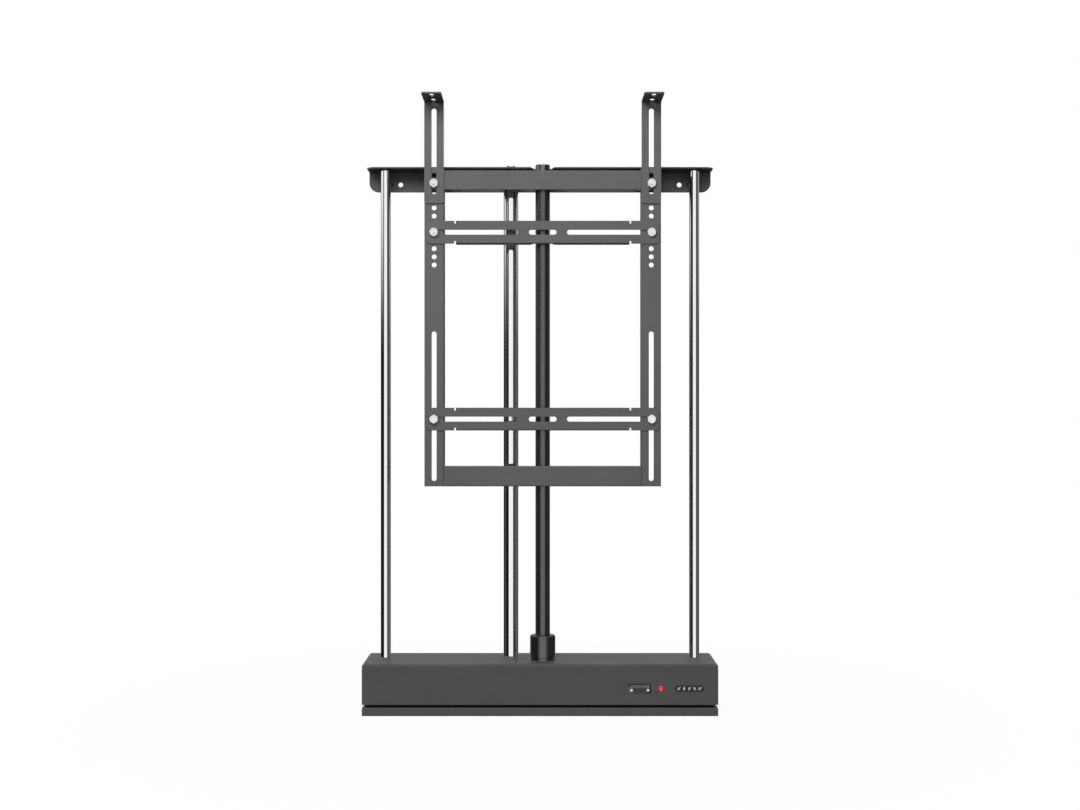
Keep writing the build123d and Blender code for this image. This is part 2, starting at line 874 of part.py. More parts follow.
def gear_outline(teeth, start_angle):
    """The edges of one closed involute gear outline round the origin."""
    pitch_radius = gear_module * teeth / 2
    base_radius = pitch_radius * cos(radians(pressure_angle))
    tip_radius = pitch_radius + addendum_share * gear_module
    root_radius = pitch_radius - dedendum_share * gear_module
    foot_radius = max(base_radius, root_radius)
    mid_radius = (foot_radius + tip_radius) / 2
    foot = tooth_half_angle(foot_radius, pitch_radius, base_radius, teeth)
    mid = tooth_half_angle(mid_radius, pitch_radius, base_radius, teeth)
    tip = tooth_half_angle(tip_radius, pitch_radius, base_radius, teeth)
    step = radians(360 / teeth)
    with BuildLine() as outline:
        for i in range(teeth):
            a = radians(start_angle) + i * step
            Line(polar(root_radius, a - foot), polar(foot_radius, a - foot))
            ThreePointArc(
                polar(foot_radius, a - foot), polar(mid_radius, a - mid), polar(tip_radius, a - tip)
            )
            ThreePointArc(polar(tip_radius, a - tip), polar(tip_radius, a), polar(tip_radius, a + tip))
            ThreePointArc(
                polar(tip_radius, a + tip), polar(mid_radius, a + mid), polar(foot_radius, a + foot)
            )
            Line(polar(foot_radius, a + foot), polar(root_radius, a + foot))
            after = a + step
            ThreePointArc(
                polar(root_radius, a + foot),
                polar(root_radius, a + step / 2),
                polar(root_radius, after - foot),
            )
    return outline.edges()


def make_gears():
    wheel_pitch = gear_module * wheel_teeth / 2
    window_ring = (wheel_pitch + wheel_hub / 2) / 2
    with BuildPart() as wheel:
        with BuildSketch(at(frame_shift, actuator_y, gear_rise)):
            make_face(gear_outline(wheel_teeth, 180 / wheel_teeth))
        extrude(amount=gear_width)
        with BuildSketch(at(frame_shift, actuator_y, gear_rise + gear_width)):
            Circle(wheel_hub / 2)
        extrude(amount=wheel_hub_height)
        with BuildSketch(at(frame_shift, actuator_y, gear_rise)):
            with PolarLocations(window_ring, wheel_window_count):
                Circle(wheel_window / 2)
            Circle(screw_journal / 2 + seat_gap)
        extrude(amount=gear_width + wheel_hub_height, mode=Mode.SUBTRACT)
    save(wheel, "screw_gear")

    with BuildPart() as pinion:
        with BuildSketch(at(motor_x, actuator_y, gear_rise)):
            make_face(gear_outline(pinion_teeth, 180))
        extrude(amount=gear_width)
        with BuildSketch(at(motor_x, actuator_y, gear_rise)):
            Circle(pinion_hub / 2)
        extrude(amount=-wheel_hub_height)
        with BuildSketch(at(motor_x, actuator_y, gear_rise - wheel_hub_height)):
            Circle(motor_shaft / 2 + seat_gap)
        extrude(amount=gear_width + wheel_hub_height, mode=Mode.SUBTRACT)
    save(pinion, "motor_pinion")

    with BuildPart() as shaft:
        with BuildSketch(at(motor_x, actuator_y, gear_rise - wheel_hub_height)):
            Circle(motor_shaft / 2)
        extrude(amount=plate_top - gear_rise + wheel_hub_height)
    save(shaft, "motor_shaft")


# Drive plate, bearings and motor

def plate_centre_x():
    return frame_shift - standoff_lead - standoff_inset + drive_plate_width / 2


def standoff_places():
    reach_x = drive_plate_width / 2 - standoff_inset
    middle = plate_centre_x()
    return [(middle + i * reach_x, actuator_y + j * standoff_reach) for i in (-1, 1) for j in (-1, 1)]


def make_bearings():
    x, y = frame_shift, actuator_y
    lower_z = pan_sheet + cup_floor
    upper_z = plate_top + tube_foot_flange_height
    outer = bearing_outer / 2
    inner = screw_journal / 2 + running_gap
    ball = min(bearing_ball, outer - inner - 2 * bearing_race_wall) - seat_gap
    with BuildPart() as bearings:
        with BuildSketch(at(x, y, upper_z)):
            Circle(outer)
            Circle(outer - bearing_race_wall, mode=Mode.SUBTRACT)
            Circle(inner + bearing_race_wall)
            Circle(inner, mode=Mode.SUBTRACT)
        extrude(amount=bearing_height)
        with Locations(at(x, y, upper_z + bearing_height / 2)):
            with PolarLocations((outer + inner) / 2, bearing_ball_count):
                Sphere(ball / 2)
        with BuildSketch(at(x, y, lower_z)):
            Circle(outer)
            Circle(inner, mode=Mode.SUBTRACT)
        extrude(amount=gear_rise - lower_z - swing_gap)
    save(bearings, "screw_bearings")

    cup_height = gear_rise - pan_sheet - swing_gap
    cup = (
        (0, 0),
        (cup_flange / 2, 0),
        (cup_flange / 2, cup_flange_height),
        (bearing_outer / 2 + cup_wall, cup_flange_height),
        (bearing_outer / 2 + cup_wall, cup_height),
        (bearing_outer / 2 + seat_gap, cup_height),
        (bearing_outer / 2 + seat_gap, cup_floor),
        (0, cup_floor),
    )
    make_turned("thrust_cup", [(x, y, pan_sheet, cup)])

    seat_z = tube_foot_flange_height
    tube_z = seat_z + bearing_height
    pass_radius = screw_diameter / 2 + swing_gap
    tube_foot = (
        (pass_radius, 0),
        (tube_foot_flange / 2, 0),
        (tube_foot_flange / 2, tube_foot_flange_height),
        (actuator_tube / 2 + tube_foot_wall, tube_foot_flange_height),
        (actuator_tube / 2 + tube_foot_wall, tube_foot_height),
        (actuator_tube / 2 + seat_gap, tube_foot_height),
        (actuator_tube / 2 + seat_gap, tube_z),
        (bearing_outer / 2 + seat_gap, tube_z),
        (bearing_outer / 2 + seat_gap, seat_z),
        (pass_radius, seat_z),
    )
    make_turned("actuator_tube_foot", [(x, y, plate_top, tube_foot)])


def make_drive_plate():
    with BuildPart() as plate:
        with BuildSketch(at(plate_centre_x(), actuator_y, drive_plate_rise)):
            RectangleRounded(drive_plate_width, drive_plate_depth, drive_plate_corner)
        extrude(amount=drive_plate_sheet)
        with BuildSketch(Plane.XY.offset(drive_plate_rise)):
            with Locations((frame_shift, actuator_y)):
                Circle(screw_diameter / 2 + swing_gap)
            with Locations((motor_x, actuator_y)):
                Circle(motor_pilot / 2 + seat_gap)
            with Locations(*standoff_places()):
                Circle(foot_screw / 2 + seat_gap)
        extrude(amount=drive_plate_sheet, mode=Mode.SUBTRACT)
    save(plate, "drive_plate")

    with BuildPart() as posts:
        with BuildSketch(Plane.XY.offset(pan_sheet)):
            with Locations(*standoff_places()):
                Circle(standoff_diameter / 2)
        extrude(amount=drive_plate_rise - pan_sheet)
        with BuildSketch(Plane.XY.offset(drive_plate_rise)):
            with Locations(*standoff_places()):
                Circle(foot_screw / 2)
        extrude(amount=drive_plate_sheet)
        with BuildSketch(Plane.XY.offset(plate_top)):
            with Locations(*standoff_places()):
                Circle(foot_screw_head / 2)
        extrude(amount=foot_screw_head_height)
    save(posts, "drive_plate_posts")


def make_motor():
    cap = motor_diameter / 2 - motor_edge
    can = (
        (0, 0),
        (cap, 0),
        (motor_diameter / 2, motor_edge),
        (motor_diameter / 2, motor_height - motor_cap_height),
        (cap, motor_height - motor_cap_height),
        (cap, motor_height - motor_edge),
        (cap - motor_edge, motor_height),
        (0, motor_height),
    )
    make_turned("motor", [(motor_x, actuator_y, plate_top, can)])


# Electrics

def board_posts():
    middle_y = board_front_y + board_depth / 2
    reach_x = board_width / 2 - board_post_inset
    reach_y = board_depth / 2 - board_post_inset
    return [(board_centre_x + i * reach_x, middle_y + j * reach_y) for i in (-1, 1) for j in (-1, 1)]


def make_board():
    middle_y = board_front_y + board_depth / 2
    back_y = board_front_y + board_depth
    with BuildPart() as board:
        with BuildSketch(at(board_centre_x, middle_y, board_rise)):
            Rectangle(board_width, board_depth)
        extrude(amount=board_sheet)
    save(board, "control_board")

    with BuildPart() as posts:
        with BuildSketch(Plane.XY.offset(pan_sheet)):
            with Locations(*board_posts()):
                Circle(board_post / 2)
        extrude(amount=board_rise - pan_sheet)
    save(posts, "board_posts")

    row_y = back_y - relay_depth
    with BuildPart() as parts_on_board:
        with BuildSketch(at(board_centre_x - relay_pitch, row_y, board_top)):
            with GridLocations(relay_pitch, relay_depth, 2, 1):
                Rectangle(relay_width, relay_depth)
        extrude(amount=relay_height)
        with BuildSketch(at(board_centre_x + relay_pitch, row_y, board_top)):
            with GridLocations(capacitor_pitch, capacitor_pitch, 2, 1):
                Circle(capacitor_diameter / 2)
        extrude(amount=capacitor_height)
        fin_x = board_centre_x - board_width / 2 + fin_width / 2 + board_post
        with BuildSketch(at(fin_x, row_y, board_top)):
            Rectangle(fin_width, fin_sheet)
            fin_pitch = (fin_width - fin_sheet) / (fin_count - 1)
            with GridLocations(fin_pitch, fin_depth, fin_count, 1):
                Rectangle(fin_sheet, fin_depth)
        extrude(amount=fin_height)
    save(parts_on_board, "board_components")


def make_supply():
    with BuildPart() as supply:
        with BuildSketch(at(supply_x, 0, pan_sheet)):
            Rectangle(supply_width, supply_depth)
        extrude(amount=supply_height)
        fillet(supply.edges().filter_by(Axis.Z), supply_sheet)
        with BuildSketch(at(supply_x, 0, pan_sheet + supply_height)):
            with GridLocations(supply_vent_pitch, supply_depth, supply_vent_count, 1):
                SlotOverall(supply_vent_length, supply_vent, rotation=90)
        extrude(amount=-supply_sheet, mode=Mode.SUBTRACT)
        for side in (-1, 1):
            with BuildSketch(at(supply_x + side * (supply_width + supply_foot) / 2, 0, pan_sheet)):
                Rectangle(supply_foot, supply_depth / 3)
            extrude(amount=supply_sheet)
    save(supply, "power_supply")


def make_inlet():
    mouth_y = wall_back_y + inlet_flange_sheet
    with BuildPart() as inlet:
        with BuildSketch(facing_front(wall_back_y)):
            with Locations((inlet_x, inlet_z)):
                RectangleRounded(inlet_flange_width, inlet_flange_height, inlet_corner)
        extrude(amount=-inlet_flange_sheet)
        with BuildSketch(facing_front(wall_back_y)):
            with Locations((inlet_x, inlet_z)):
                Rectangle(inlet_body_width, inlet_body_height)
        extrude(amount=inlet_body_depth)
        with BuildSketch(facing_front(mouth_y)):
            with Locations((inlet_x, inlet_z)):
                RectangleRounded(inlet_pocket_width, inlet_pocket_height, inlet_corner)
        extrude(amount=inlet_pocket_depth, mode=Mode.SUBTRACT)
        with BuildSketch(facing_front(mouth_y)):
            with Locations(*inlet_screw_places()):
                Circle(inlet_screw / 2 + seat_gap)
        extrude(amount=inlet_flange_sheet, mode=Mode.SUBTRACT)
        with BuildSketch(facing_front(mouth_y - inlet_pocket_depth)):
            with Locations((inlet_x, inlet_z + inlet_pin_offset)):
                Rectangle(inlet_pin_height, inlet_pin_width)
            with Locations(
                (inlet_x - inlet_pin_pitch, inlet_z - inlet_pin_offset),
                (inlet_x + inlet_pin_pitch, inlet_z - inlet_pin_offset),
            ):
                Rectangle(inlet_pin_height, inlet_pin_width)
        extrude(amount=-inlet_pin_length)
    save(inlet, "power_inlet")


def make_socket():
    face_y = wall_front_y + socket_flange_inset
    flange_back_y = face_y + socket_flange_sheet
    with BuildPart() as socket:
        with BuildSketch(facing_front(face_y)):
            with Locations((socket_x, control_z)):
                RectangleRounded(socket_flange_width, socket_flange_height, socket_shell_corner)
        extrude(amount=-socket_flange_sheet)
        with BuildSketch(facing_front(flange_back_y)):
            with Locations((socket_x, control_z)):
                RectangleRounded(socket_shell_width, socket_shell_height, socket_shell_corner)
        extrude(amount=socket_flange_sheet + socket_flange_inset)
        with BuildSketch(facing_front(flange_back_y)):
            with Locations((socket_x, control_z)):
                Rectangle(
                    socket_shell_width + socket_shell_height, socket_flange_height - 2 * socket_screw_bore
                )
        extrude(amount=-socket_body_depth)
        with BuildSketch(facing_front(wall_front_y)):
            with Locations((socket_x, control_z + socket_row_pitch / 2)):
                with GridLocations(socket_contact_pitch, socket_row_pitch, socket_upper_count, 1):
                    Circle(socket_contact / 2)
            with Locations((socket_x, control_z - socket_row_pitch / 2)):
                with GridLocations(socket_contact_pitch, socket_row_pitch, socket_upper_count - 1, 1):
                    Circle(socket_contact / 2)
        extrude(amount=-socket_contact_depth, mode=Mode.SUBTRACT)
        with BuildSketch(facing_front(face_y)):
            with Locations(*socket_screw_places()):
                Circle(socket_screw_bore / 2 + seat_gap)
        extrude(amount=-2 * socket_flange_sheet, mode=Mode.SUBTRACT)
        with BuildSketch(at(socket_x, board_front_y, board_top)):
            Rectangle(socket_shell_width, pedestal_depth, align=(Align.CENTER, Align.MIN))
        extrude(amount=control_z - board_top)
    save(socket, "control_socket")


def make_connector_screws():
    face_y = wall_front_y + socket_flange_inset
    mouth_y = wall_back_y + inlet_flange_sheet
    with BuildPart() as screws:
        with BuildSketch(facing_front(face_y)):
            with Locations(*socket_screw_places()):
                RegularPolygon(socket_screw / 2, side_count=6)
        extrude(amount=socket_screw_height)
        with BuildSketch(facing_front(face_y)):
            with Locations(*socket_screw_places()):
                Circle(socket_screw_bore / 2)
        extrude(amount=-2 * socket_flange_sheet)
        with BuildSketch(facing_front(mouth_y)):
            with Locations(*inlet_screw_places()):
                Circle(inlet_screw_head / 2)
        extrude(amount=-inlet_screw_head_height)
        with BuildSketch(facing_front(mouth_y)):
            with Locations(*inlet_screw_places()):
                Circle(inlet_screw / 2)
        extrude(amount=inlet_flange_sheet + 2 * housing_sheet)
    save(screws, "connector_screws")


def make_led():
    radius = led_diameter / 2
    with BuildPart() as led:
        with BuildSketch(facing_front(wall_front_y - led_proud)):
            with Locations((led_x, control_z)):
                Circle(radius)
        extrude(amount=-led_body - led_proud)
        fillet(led.faces().sort_by(Axis.Y)[0].edges(), led_proud - led_bezel_gap)
        with BuildSketch(at(led_x, board_front_y, board_top)):
            Rectangle(radius, pedestal_depth, align=(Align.CENTER, Align.MIN))
        extrude(amount=control_z - board_top)
    save(led, "status_led")


def terminal_places():
    first = -(terminal_count - 1) / 2
    return [(terminal_x + (first + i) * terminal_pitch, control_z) for i in range(terminal_count)]


def make_terminals():
    face_y = wall_front_y + terminal_inset
    with BuildPart() as strip:
        with BuildSketch(facing_front(face_y)):
            with Locations((terminal_x, control_z)):
                SlotOverall(terminal_width, terminal_height)
        extrude(amount=-terminal_depth)
        with BuildSketch(facing_front(face_y)):
            with Locations(*terminal_places()):
                Circle(terminal_screw / 2 + seat_gap)
        extrude(amount=-terminal_well_depth, mode=Mode.SUBTRACT)
        with BuildSketch(at(terminal_x, board_front_y, board_top)):
            Rectangle(terminal_width - terminal_height, pedestal_depth, align=(Align.CENTER, Align.MIN))
        extrude(amount=control_z - board_top)
    save(strip, "terminal_strip")
    floor_y = face_y + terminal_well_depth
    with BuildPart() as screws:
        for place, turn in zip(terminal_places(), terminal_angles):
            with BuildSketch(facing_front(floor_y)):
                with Locations(place):
                    Circle(terminal_screw / 2)
            extrude(amount=terminal_screw_height)
            with BuildSketch(facing_front(floor_y - terminal_screw_height)):
                with Locations(place):
                    Rectangle(terminal_screw, terminal_slot, rotation=turn)
            extrude(amount=-terminal_slot_depth, mode=Mode.SUBTRACT)
    save(screws, "terminal_screws")


# Head plate

def bracket_screw_places():
    reach = (bracket_width + bracket_tab) / 2
    z = head_under - bracket_height / 2
    return [(frame_shift - reach, z), (frame_shift + reach, z)]


def hanger_screw_places(x):
    reach = (hanger_width + hanger_tab) / 2
    z = frame_top - hanger_inset - hanger_height / 2
    return [(x - reach, z), (x + reach, z)]


def tie_screw_places():
    return bracket_screw_places() + hanger_screw_places(left_x) + hanger_screw_places(right_x)


def flange_places(inset):
    reach = base_width / 2 - inset
    return [(-reach, head_top - head_hole_drop), (reach, head_top - head_hole_drop)]


def make_head_plate():
    mouth = head_notch_width / 2
    floor = head_notch_floor / 2
    with BuildPart() as head:
        with BuildSketch(facing_right(-base_width / 2)):
            with BuildLine():
                Polyline(
                    (head_front_y, head_under),
                    (head_flange_y, head_under),
                    (head_flange_y, head_top - head_drop),
                    (head_back_y, head_top - head_drop),
                    (head_back_y, head_top),
                    (head_front_y, head_top),
                    close=True,
                )
            make_face()
        extrude(amount=base_width)
        bend_edge = head.edges().filter_by(Axis.X).group_by(Axis.Z)[-1].sort_by(Axis.Y)[-1]
        fillet(bend_edge, head_bend)
        front_corners = head.edges().filter_by(Axis.Z).group_by(Axis.Y)[0]
        fillet(front_corners, head_corner)
        lower_corners = head.edges().filter_by(Axis.Y).group_by(Axis.Z)[0]
        fillet(lower_corners, head_corner)
        with BuildSketch(Plane.XY.offset(head_top)):
            with BuildLine():
                Polyline(
                    (frame_shift - mouth, head_front_y - cut_over),
                    (frame_shift - mouth, head_front_y),
                    (frame_shift - floor, head_front_y + head_notch_depth),
                    (frame_shift + floor, head_front_y + head_notch_depth),
                    (frame_shift + mouth, head_front_y),
                    (frame_shift + mouth, head_front_y - cut_over),
                    close=True,
                )
            make_face()
            with Locations((-column_x, side_column_y), (column_x, side_column_y)):
                Circle(rod_spigot / 2 + seat_gap)
            with Locations((centre_column_x, centre_column_y)):
                Circle(column_screw / 2 + seat_gap)
        extrude(amount=-head_sheet, mode=Mode.SUBTRACT)
        with BuildSketch(facing_front(head_flange_y)):
            with Locations(*flange_places(head_hole_inset)):
                Circle(head_hole / 2)
            with Locations(*tie_screw_places(), *flange_places(flange_screw_inset)):
                Circle(tie_screw_hole / 2)
        extrude(amount=-head_sheet, mode=Mode.SUBTRACT)
    save(head, "head_plate")

    with BuildPart() as screws:
        for places, tab in (
            (bracket_screw_places(), bracket_sheet),
            (hanger_screw_places(left_x) + hanger_screw_places(right_x), sheet),
            (flange_places(flange_screw_inset), 0),
        ):
            with BuildSketch(facing_front(head_back_y)):
                with Locations(*places):
                    RegularPolygon(tie_screw_head / 2, side_count=6, major_radius=False)
            extrude(amount=-tie_screw_head_height)
            with BuildSketch(facing_front(head_back_y)):
                with Locations(*places):
                    Circle(tie_screw / 2)
            extrude(amount=head_sheet + tab)
            with BuildSketch(facing_front(head_flange_y - tab)):
                with Locations(*places):
                    RegularPolygon(tie_screw_head / 2, side_count=6, major_radius=False)
            extrude(amount=tie_nut_height)
    save(screws, "head_screws")


# Hanging frame

def make_hanger(label, x):
    half = hanger_width / 2
    back_y = head_flange_y
    low = frame_top - hanger_inset - hanger_height
    with BuildPart() as hanger:
        with BuildSketch(at(x, 0, low)):
            with Locations((0, (web_back_y + back_y) / 2)):
                Rectangle(hanger_width, back_y - web_back_y)
            with Locations((0, (web_back_y + sheet + back_y) / 2)):
                Rectangle(hanger_width - 2 * sheet, back_y - web_back_y - sheet, mode=Mode.SUBTRACT)
            for side in (-1, 1):
                with Locations((side * (half + hanger_tab / 2), back_y - sheet / 2)):
                    Rectangle(hanger_tab, sheet)
        extrude(amount=hanger_height)
        with BuildSketch(at(x, web_back_y + sheet / 2, low + hanger_height - hanger_front_height)):
            Rectangle(hanger_width, sheet)
        extrude(amount=hanger_front_height)
        with BuildSketch(facing_front(web_back_y)):
            with Locations((x, first_hole_z), (x, lid_bolt_z)):
                Circle(hole_diameter / 2)
        extrude(amount=-sheet, mode=Mode.SUBTRACT)
        with BuildSketch(facing_front(back_y - sheet)):
            with Locations(*hanger_screw_places(x)):
                Circle(tie_screw_hole / 2)
        extrude(amount=-sheet, mode=Mode.SUBTRACT)
    save(hanger, label)


def make_upright(label, x):
    slot_z = frame_bottom + upright_slot_inset + upright_slot_length / 2
    with BuildPart() as upright:
        with BuildSketch(at(x, upright_front_y + upright_depth / 2, frame_bottom)):
            Rectangle(upright_width, upright_depth)
        extrude(amount=upright_length)
        fillet(upright.edges().filter_by(Axis.Z).group_by(Axis.Y)[0], sheet_bend)
        with BuildSketch(at(x, web_back_y + upright_depth / 2, frame_bottom)):
            Rectangle(upright_width - 2 * sheet, upright_depth)
        extrude(amount=upright_length, mode=Mode.SUBTRACT)
        with BuildSketch(facing_front(upright_front_y)):
            with Locations(*[(x, first_hole_z - i * hole_pitch) for i in range(hole_count)]):
                Circle(hole_diameter / 2)
            with Locations((x, slot_z)):
                SlotOverall(upright_slot_length, slot_width, rotation=90)
        extrude(amount=-sheet, mode=Mode.SUBTRACT)
    save(upright, label)


def make_bars():
    length = upright_span - upright_width
    with BuildPart() as top_bar:
        with BuildSketch(facing_front(upright_front_y)):
            with Locations((frame_shift, frame_top - top_bar_inset - top_bar_height / 2)):
                Rectangle(length, top_bar_height)
        extrude(amount=-top_bar_sheet)
    save(top_bar, "top_bar")
    with BuildPart() as bottom_bar:
        with BuildSketch(facing_front(upright_front_y)):
            with Locations((frame_shift, frame_bottom + bottom_bar_height / 2)):
                Rectangle(length, bottom_bar_height)
        extrude(amount=-bottom_bar_depth)
        fillet(bottom_bar.edges().filter_by(Axis.X).group_by(Axis.Y)[0], sheet_bend)
        with BuildSketch(facing_front(upright_front_y + sheet)):
            with Locations((frame_shift, frame_bottom + bottom_bar_height / 2)):
                Rectangle(length, bottom_bar_height - 2 * sheet)
        extrude(amount=-bottom_bar_depth, mode=Mode.SUBTRACT)
    save(bottom_bar, "bottom_bar")


def make_crossbar(label, z):
    back_y = crossbar_front_y + crossbar_depth
    slot_length = crossbar_slot_outer - crossbar_slot_inner
    slot_x = (crossbar_slot_outer + crossbar_slot_inner) / 2
    mouth = crossbar_notch_width / 2
    floor = crossbar_notch_floor / 2
    with BuildPart() as bar:
        with BuildSketch(facing_front(crossbar_front_y)):
            with Locations((frame_shift, z)):
                RectangleRounded(crossbar_length, crossbar_height, crossbar_corner)
            with Locations((frame_shift, z)):
                Rectangle(crossbar_flange_span + 2 * crossbar_relief, crossbar_height, mode=Mode.SUBTRACT)
                Rectangle(
                    crossbar_flange_span + 2 * crossbar_relief, crossbar_height - 2 * crossbar_relief_depth
                )
        extrude(amount=-sheet)
        with BuildSketch(facing_right(frame_shift - crossbar_flange_span / 2)):
            with Locations((crossbar_front_y + crossbar_depth / 2, z)):
                channel = Rectangle(crossbar_depth, crossbar_height)
            fillet(channel.vertices().group_by(Axis.Y)[0], sheet_bend)
            with Locations((crossbar_front_y + sheet + crossbar_depth / 2, z)):
                Rectangle(crossbar_depth, crossbar_height - 2 * sheet, mode=Mode.SUBTRACT)
        extrude(amount=crossbar_flange_span)
        with BuildSketch(Plane.XY.offset(z - crossbar_height)):
            with BuildLine():
                Polyline(
                    (frame_shift - mouth, back_y + cut_over),
                    (frame_shift - mouth, back_y),
                    (frame_shift - floor, back_y - crossbar_notch_depth),
                    (frame_shift + floor, back_y - crossbar_notch_depth),
                    (frame_shift + mouth, back_y),
                    (frame_shift + mouth, back_y + cut_over),
                    close=True,
                )
            make_face()
        extrude(amount=2 * crossbar_height, mode=Mode.SUBTRACT)
        with BuildSketch(facing_front(crossbar_front_y)):
            with Locations((frame_shift - slot_x, z), (frame_shift + slot_x, z)):
                SlotOverall(slot_length, slot_width)
            with Locations((frame_shift, z)):
                SlotOverall(crossbar_centre_slot, slot_width)
        extrude(amount=-sheet, mode=Mode.SUBTRACT)
    save(bar, label)


def make_lid_bracket(label, x):
    bottom = lid_bolt_z - lid_web_below
    top = bottom + lid_height
    front = plate_back_y - lid_tab_reach
    slot_z = bottom + lid_slot_inset + lid_slot_length / 2
    near = lid_front_y - lid_tab_slot_near
    with BuildPart() as bracket:
        with BuildSketch(facing_right(x - upright_width / 2)):
            with BuildLine():
                Polyline(
                    (plate_back_y, bottom),
                    (plate_back_y, top),
                    (front, top),
                    (front, top - lid_sheet),
                    (lid_front_y, top - lid_sheet),
                    (lid_front_y, bottom),
                    close=True,
                )
            make_face()
        extrude(amount=upright_width)
        fillet(bracket.edges().filter_by(Axis.X).group_by(Axis.Z)[-1].sort_by(Axis.Y)[-1], lid_bend)
        fillet(bracket.edges().filter_by(Axis.Y).group_by(Axis.Z)[0], lid_corner)
        fillet(bracket.edges().filter_by(Axis.Z).group_by(Axis.Y)[0], lid_corner)
        with BuildSketch(facing_front(lid_front_y)):
            with Locations((x, slot_z)):
                SlotOverall(lid_slot_length, lid_slot_width, rotation=90)
        extrude(amount=-lid_sheet, mode=Mode.SUBTRACT)
        with BuildSketch(Plane.XY.offset(top)):
            with Locations((x, near), (x, near - lid_tab_slot_pitch)):
                SlotOverall(lid_tab_slot_length, lid_tab_slot_width, rotation=90)
        extrude(amount=-lid_sheet, mode=Mode.SUBTRACT)
    save(bracket, label)


def make_bolts(label, places, face_y, nut_y):
    """Hexagon bolts through the stack from face_y back to nut_y, with washers and nuts."""
    head_y = face_y - slide_gap - bolt_washer_sheet
    with BuildPart() as bolts:
        for place in places:
            with BuildSketch(facing_front(head_y)):
                with Locations(place):
                    RegularPolygon(bolt_flats / 2, side_count=6, major_radius=False)
            extrude(amount=bolt_head_height)
        chamfer(bolts.faces().group_by(Axis.Y)[0].edges(), bolt_chamfer)
        for place in places:
            with BuildSketch(facing_front(head_y)):
                with Locations(place):
                    Circle(bolt_washer / 2)
            extrude(amount=-bolt_washer_sheet)
            with BuildSketch(facing_front(head_y)):
                with Locations(place):
                    Circle(bolt / 2)
            extrude(amount=head_y - nut_y - slide_gap - bolt_nut_height - bolt_end)
            with BuildSketch(facing_front(nut_y + slide_gap)):
                with Locations(place):
                    RegularPolygon(bolt_flats / 2, side_count=6, major_radius=False)
            extrude(amount=-bolt_nut_height)
    save(bolts, label)


make_base_pan()
make_plinth()
make_housing()
make_cover_screws()
make_column_feet()
make_columns()
make_column_screw()
make_actuator()
make_drive_head()
make_gears()
make_bearings()
make_drive_plate()
make_motor()
make_board()
make_supply()
make_inlet()
make_socket()
make_connector_screws()
make_led()
make_terminals()
make_head_plate()
make_hanger("frame_hanger_left", left_x)
make_hanger("frame_hanger_right", right_x)
make_upright("upright_left", left_x)
make_upright("upright_right", right_x)
make_bars()
make_crossbar("upper_crossbar", upper_crossbar_z)
make_crossbar("lower_crossbar", lower_crossbar_z)
make_lid_bracket("lid_bracket_left", left_x)
make_lid_bracket("lid_bracket_right", right_x)
make_bolts("lid_bolts", [(left_x, lid_bolt_z), (right_x, lid_bolt_z)], lid_front_y, web_back_y + sheet)
make_bolts(
    "upper_crossbar_bolts",
    [(left_x, upper_crossbar_z), (right_x, upper_crossbar_z)],
    crossbar_front_y,
    web_back_y,
)
make_bolts(
    "lower_crossbar_bolts",
    [(left_x, lower_crossbar_z), (right_x, lower_crossbar_z)],
    crossbar_front_y,
    web_back_y,
)
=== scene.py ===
import json
import math

import bpy
from mathutils import Matrix, Vector


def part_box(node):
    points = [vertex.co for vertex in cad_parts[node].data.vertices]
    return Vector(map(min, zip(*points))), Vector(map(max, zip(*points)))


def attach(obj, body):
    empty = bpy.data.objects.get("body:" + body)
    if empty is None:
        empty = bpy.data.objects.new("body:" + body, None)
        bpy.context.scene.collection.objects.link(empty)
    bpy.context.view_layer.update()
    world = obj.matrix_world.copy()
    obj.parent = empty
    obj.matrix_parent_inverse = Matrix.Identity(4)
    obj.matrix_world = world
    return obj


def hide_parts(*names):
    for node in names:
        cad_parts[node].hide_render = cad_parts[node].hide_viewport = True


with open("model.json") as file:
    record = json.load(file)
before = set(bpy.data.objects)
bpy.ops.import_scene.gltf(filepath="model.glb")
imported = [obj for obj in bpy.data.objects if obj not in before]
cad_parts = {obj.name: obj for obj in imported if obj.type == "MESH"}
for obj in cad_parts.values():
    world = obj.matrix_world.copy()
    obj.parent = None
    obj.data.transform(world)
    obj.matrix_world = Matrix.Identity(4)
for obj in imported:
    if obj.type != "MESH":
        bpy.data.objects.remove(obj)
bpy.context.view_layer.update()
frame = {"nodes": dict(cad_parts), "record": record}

# A television lift with its finishes, in metres. Front towards -Y, +Z up.
mm = 0.001
BODY_OF = {node: body for body, nodes in frame["record"]["behaviour"]["bodies"].items() for node in nodes}
SLOT_OF = {part["node"]: part["material_slot"] for part in frame["record"]["subparts"]}

# Camera
eye = Vector((0, -2.798, 0.567))
lens_mm = 50
sensor_mm = 36

# Softened edges of the folded sheet, the tubes and the turned pieces, and how far shading is smooth
sheet_edge = 0.35 * mm
small_edge = 0.15 * mm
edge_steps = 2
edge_angle = math.radians(32)
smooth_angle = math.radians(34)
bolt_smooth_angle = math.radians(30)
small_smooth_angle = math.radians(40)
flat_angle = math.radians(0.5)
weld_gap = 0.002 * mm

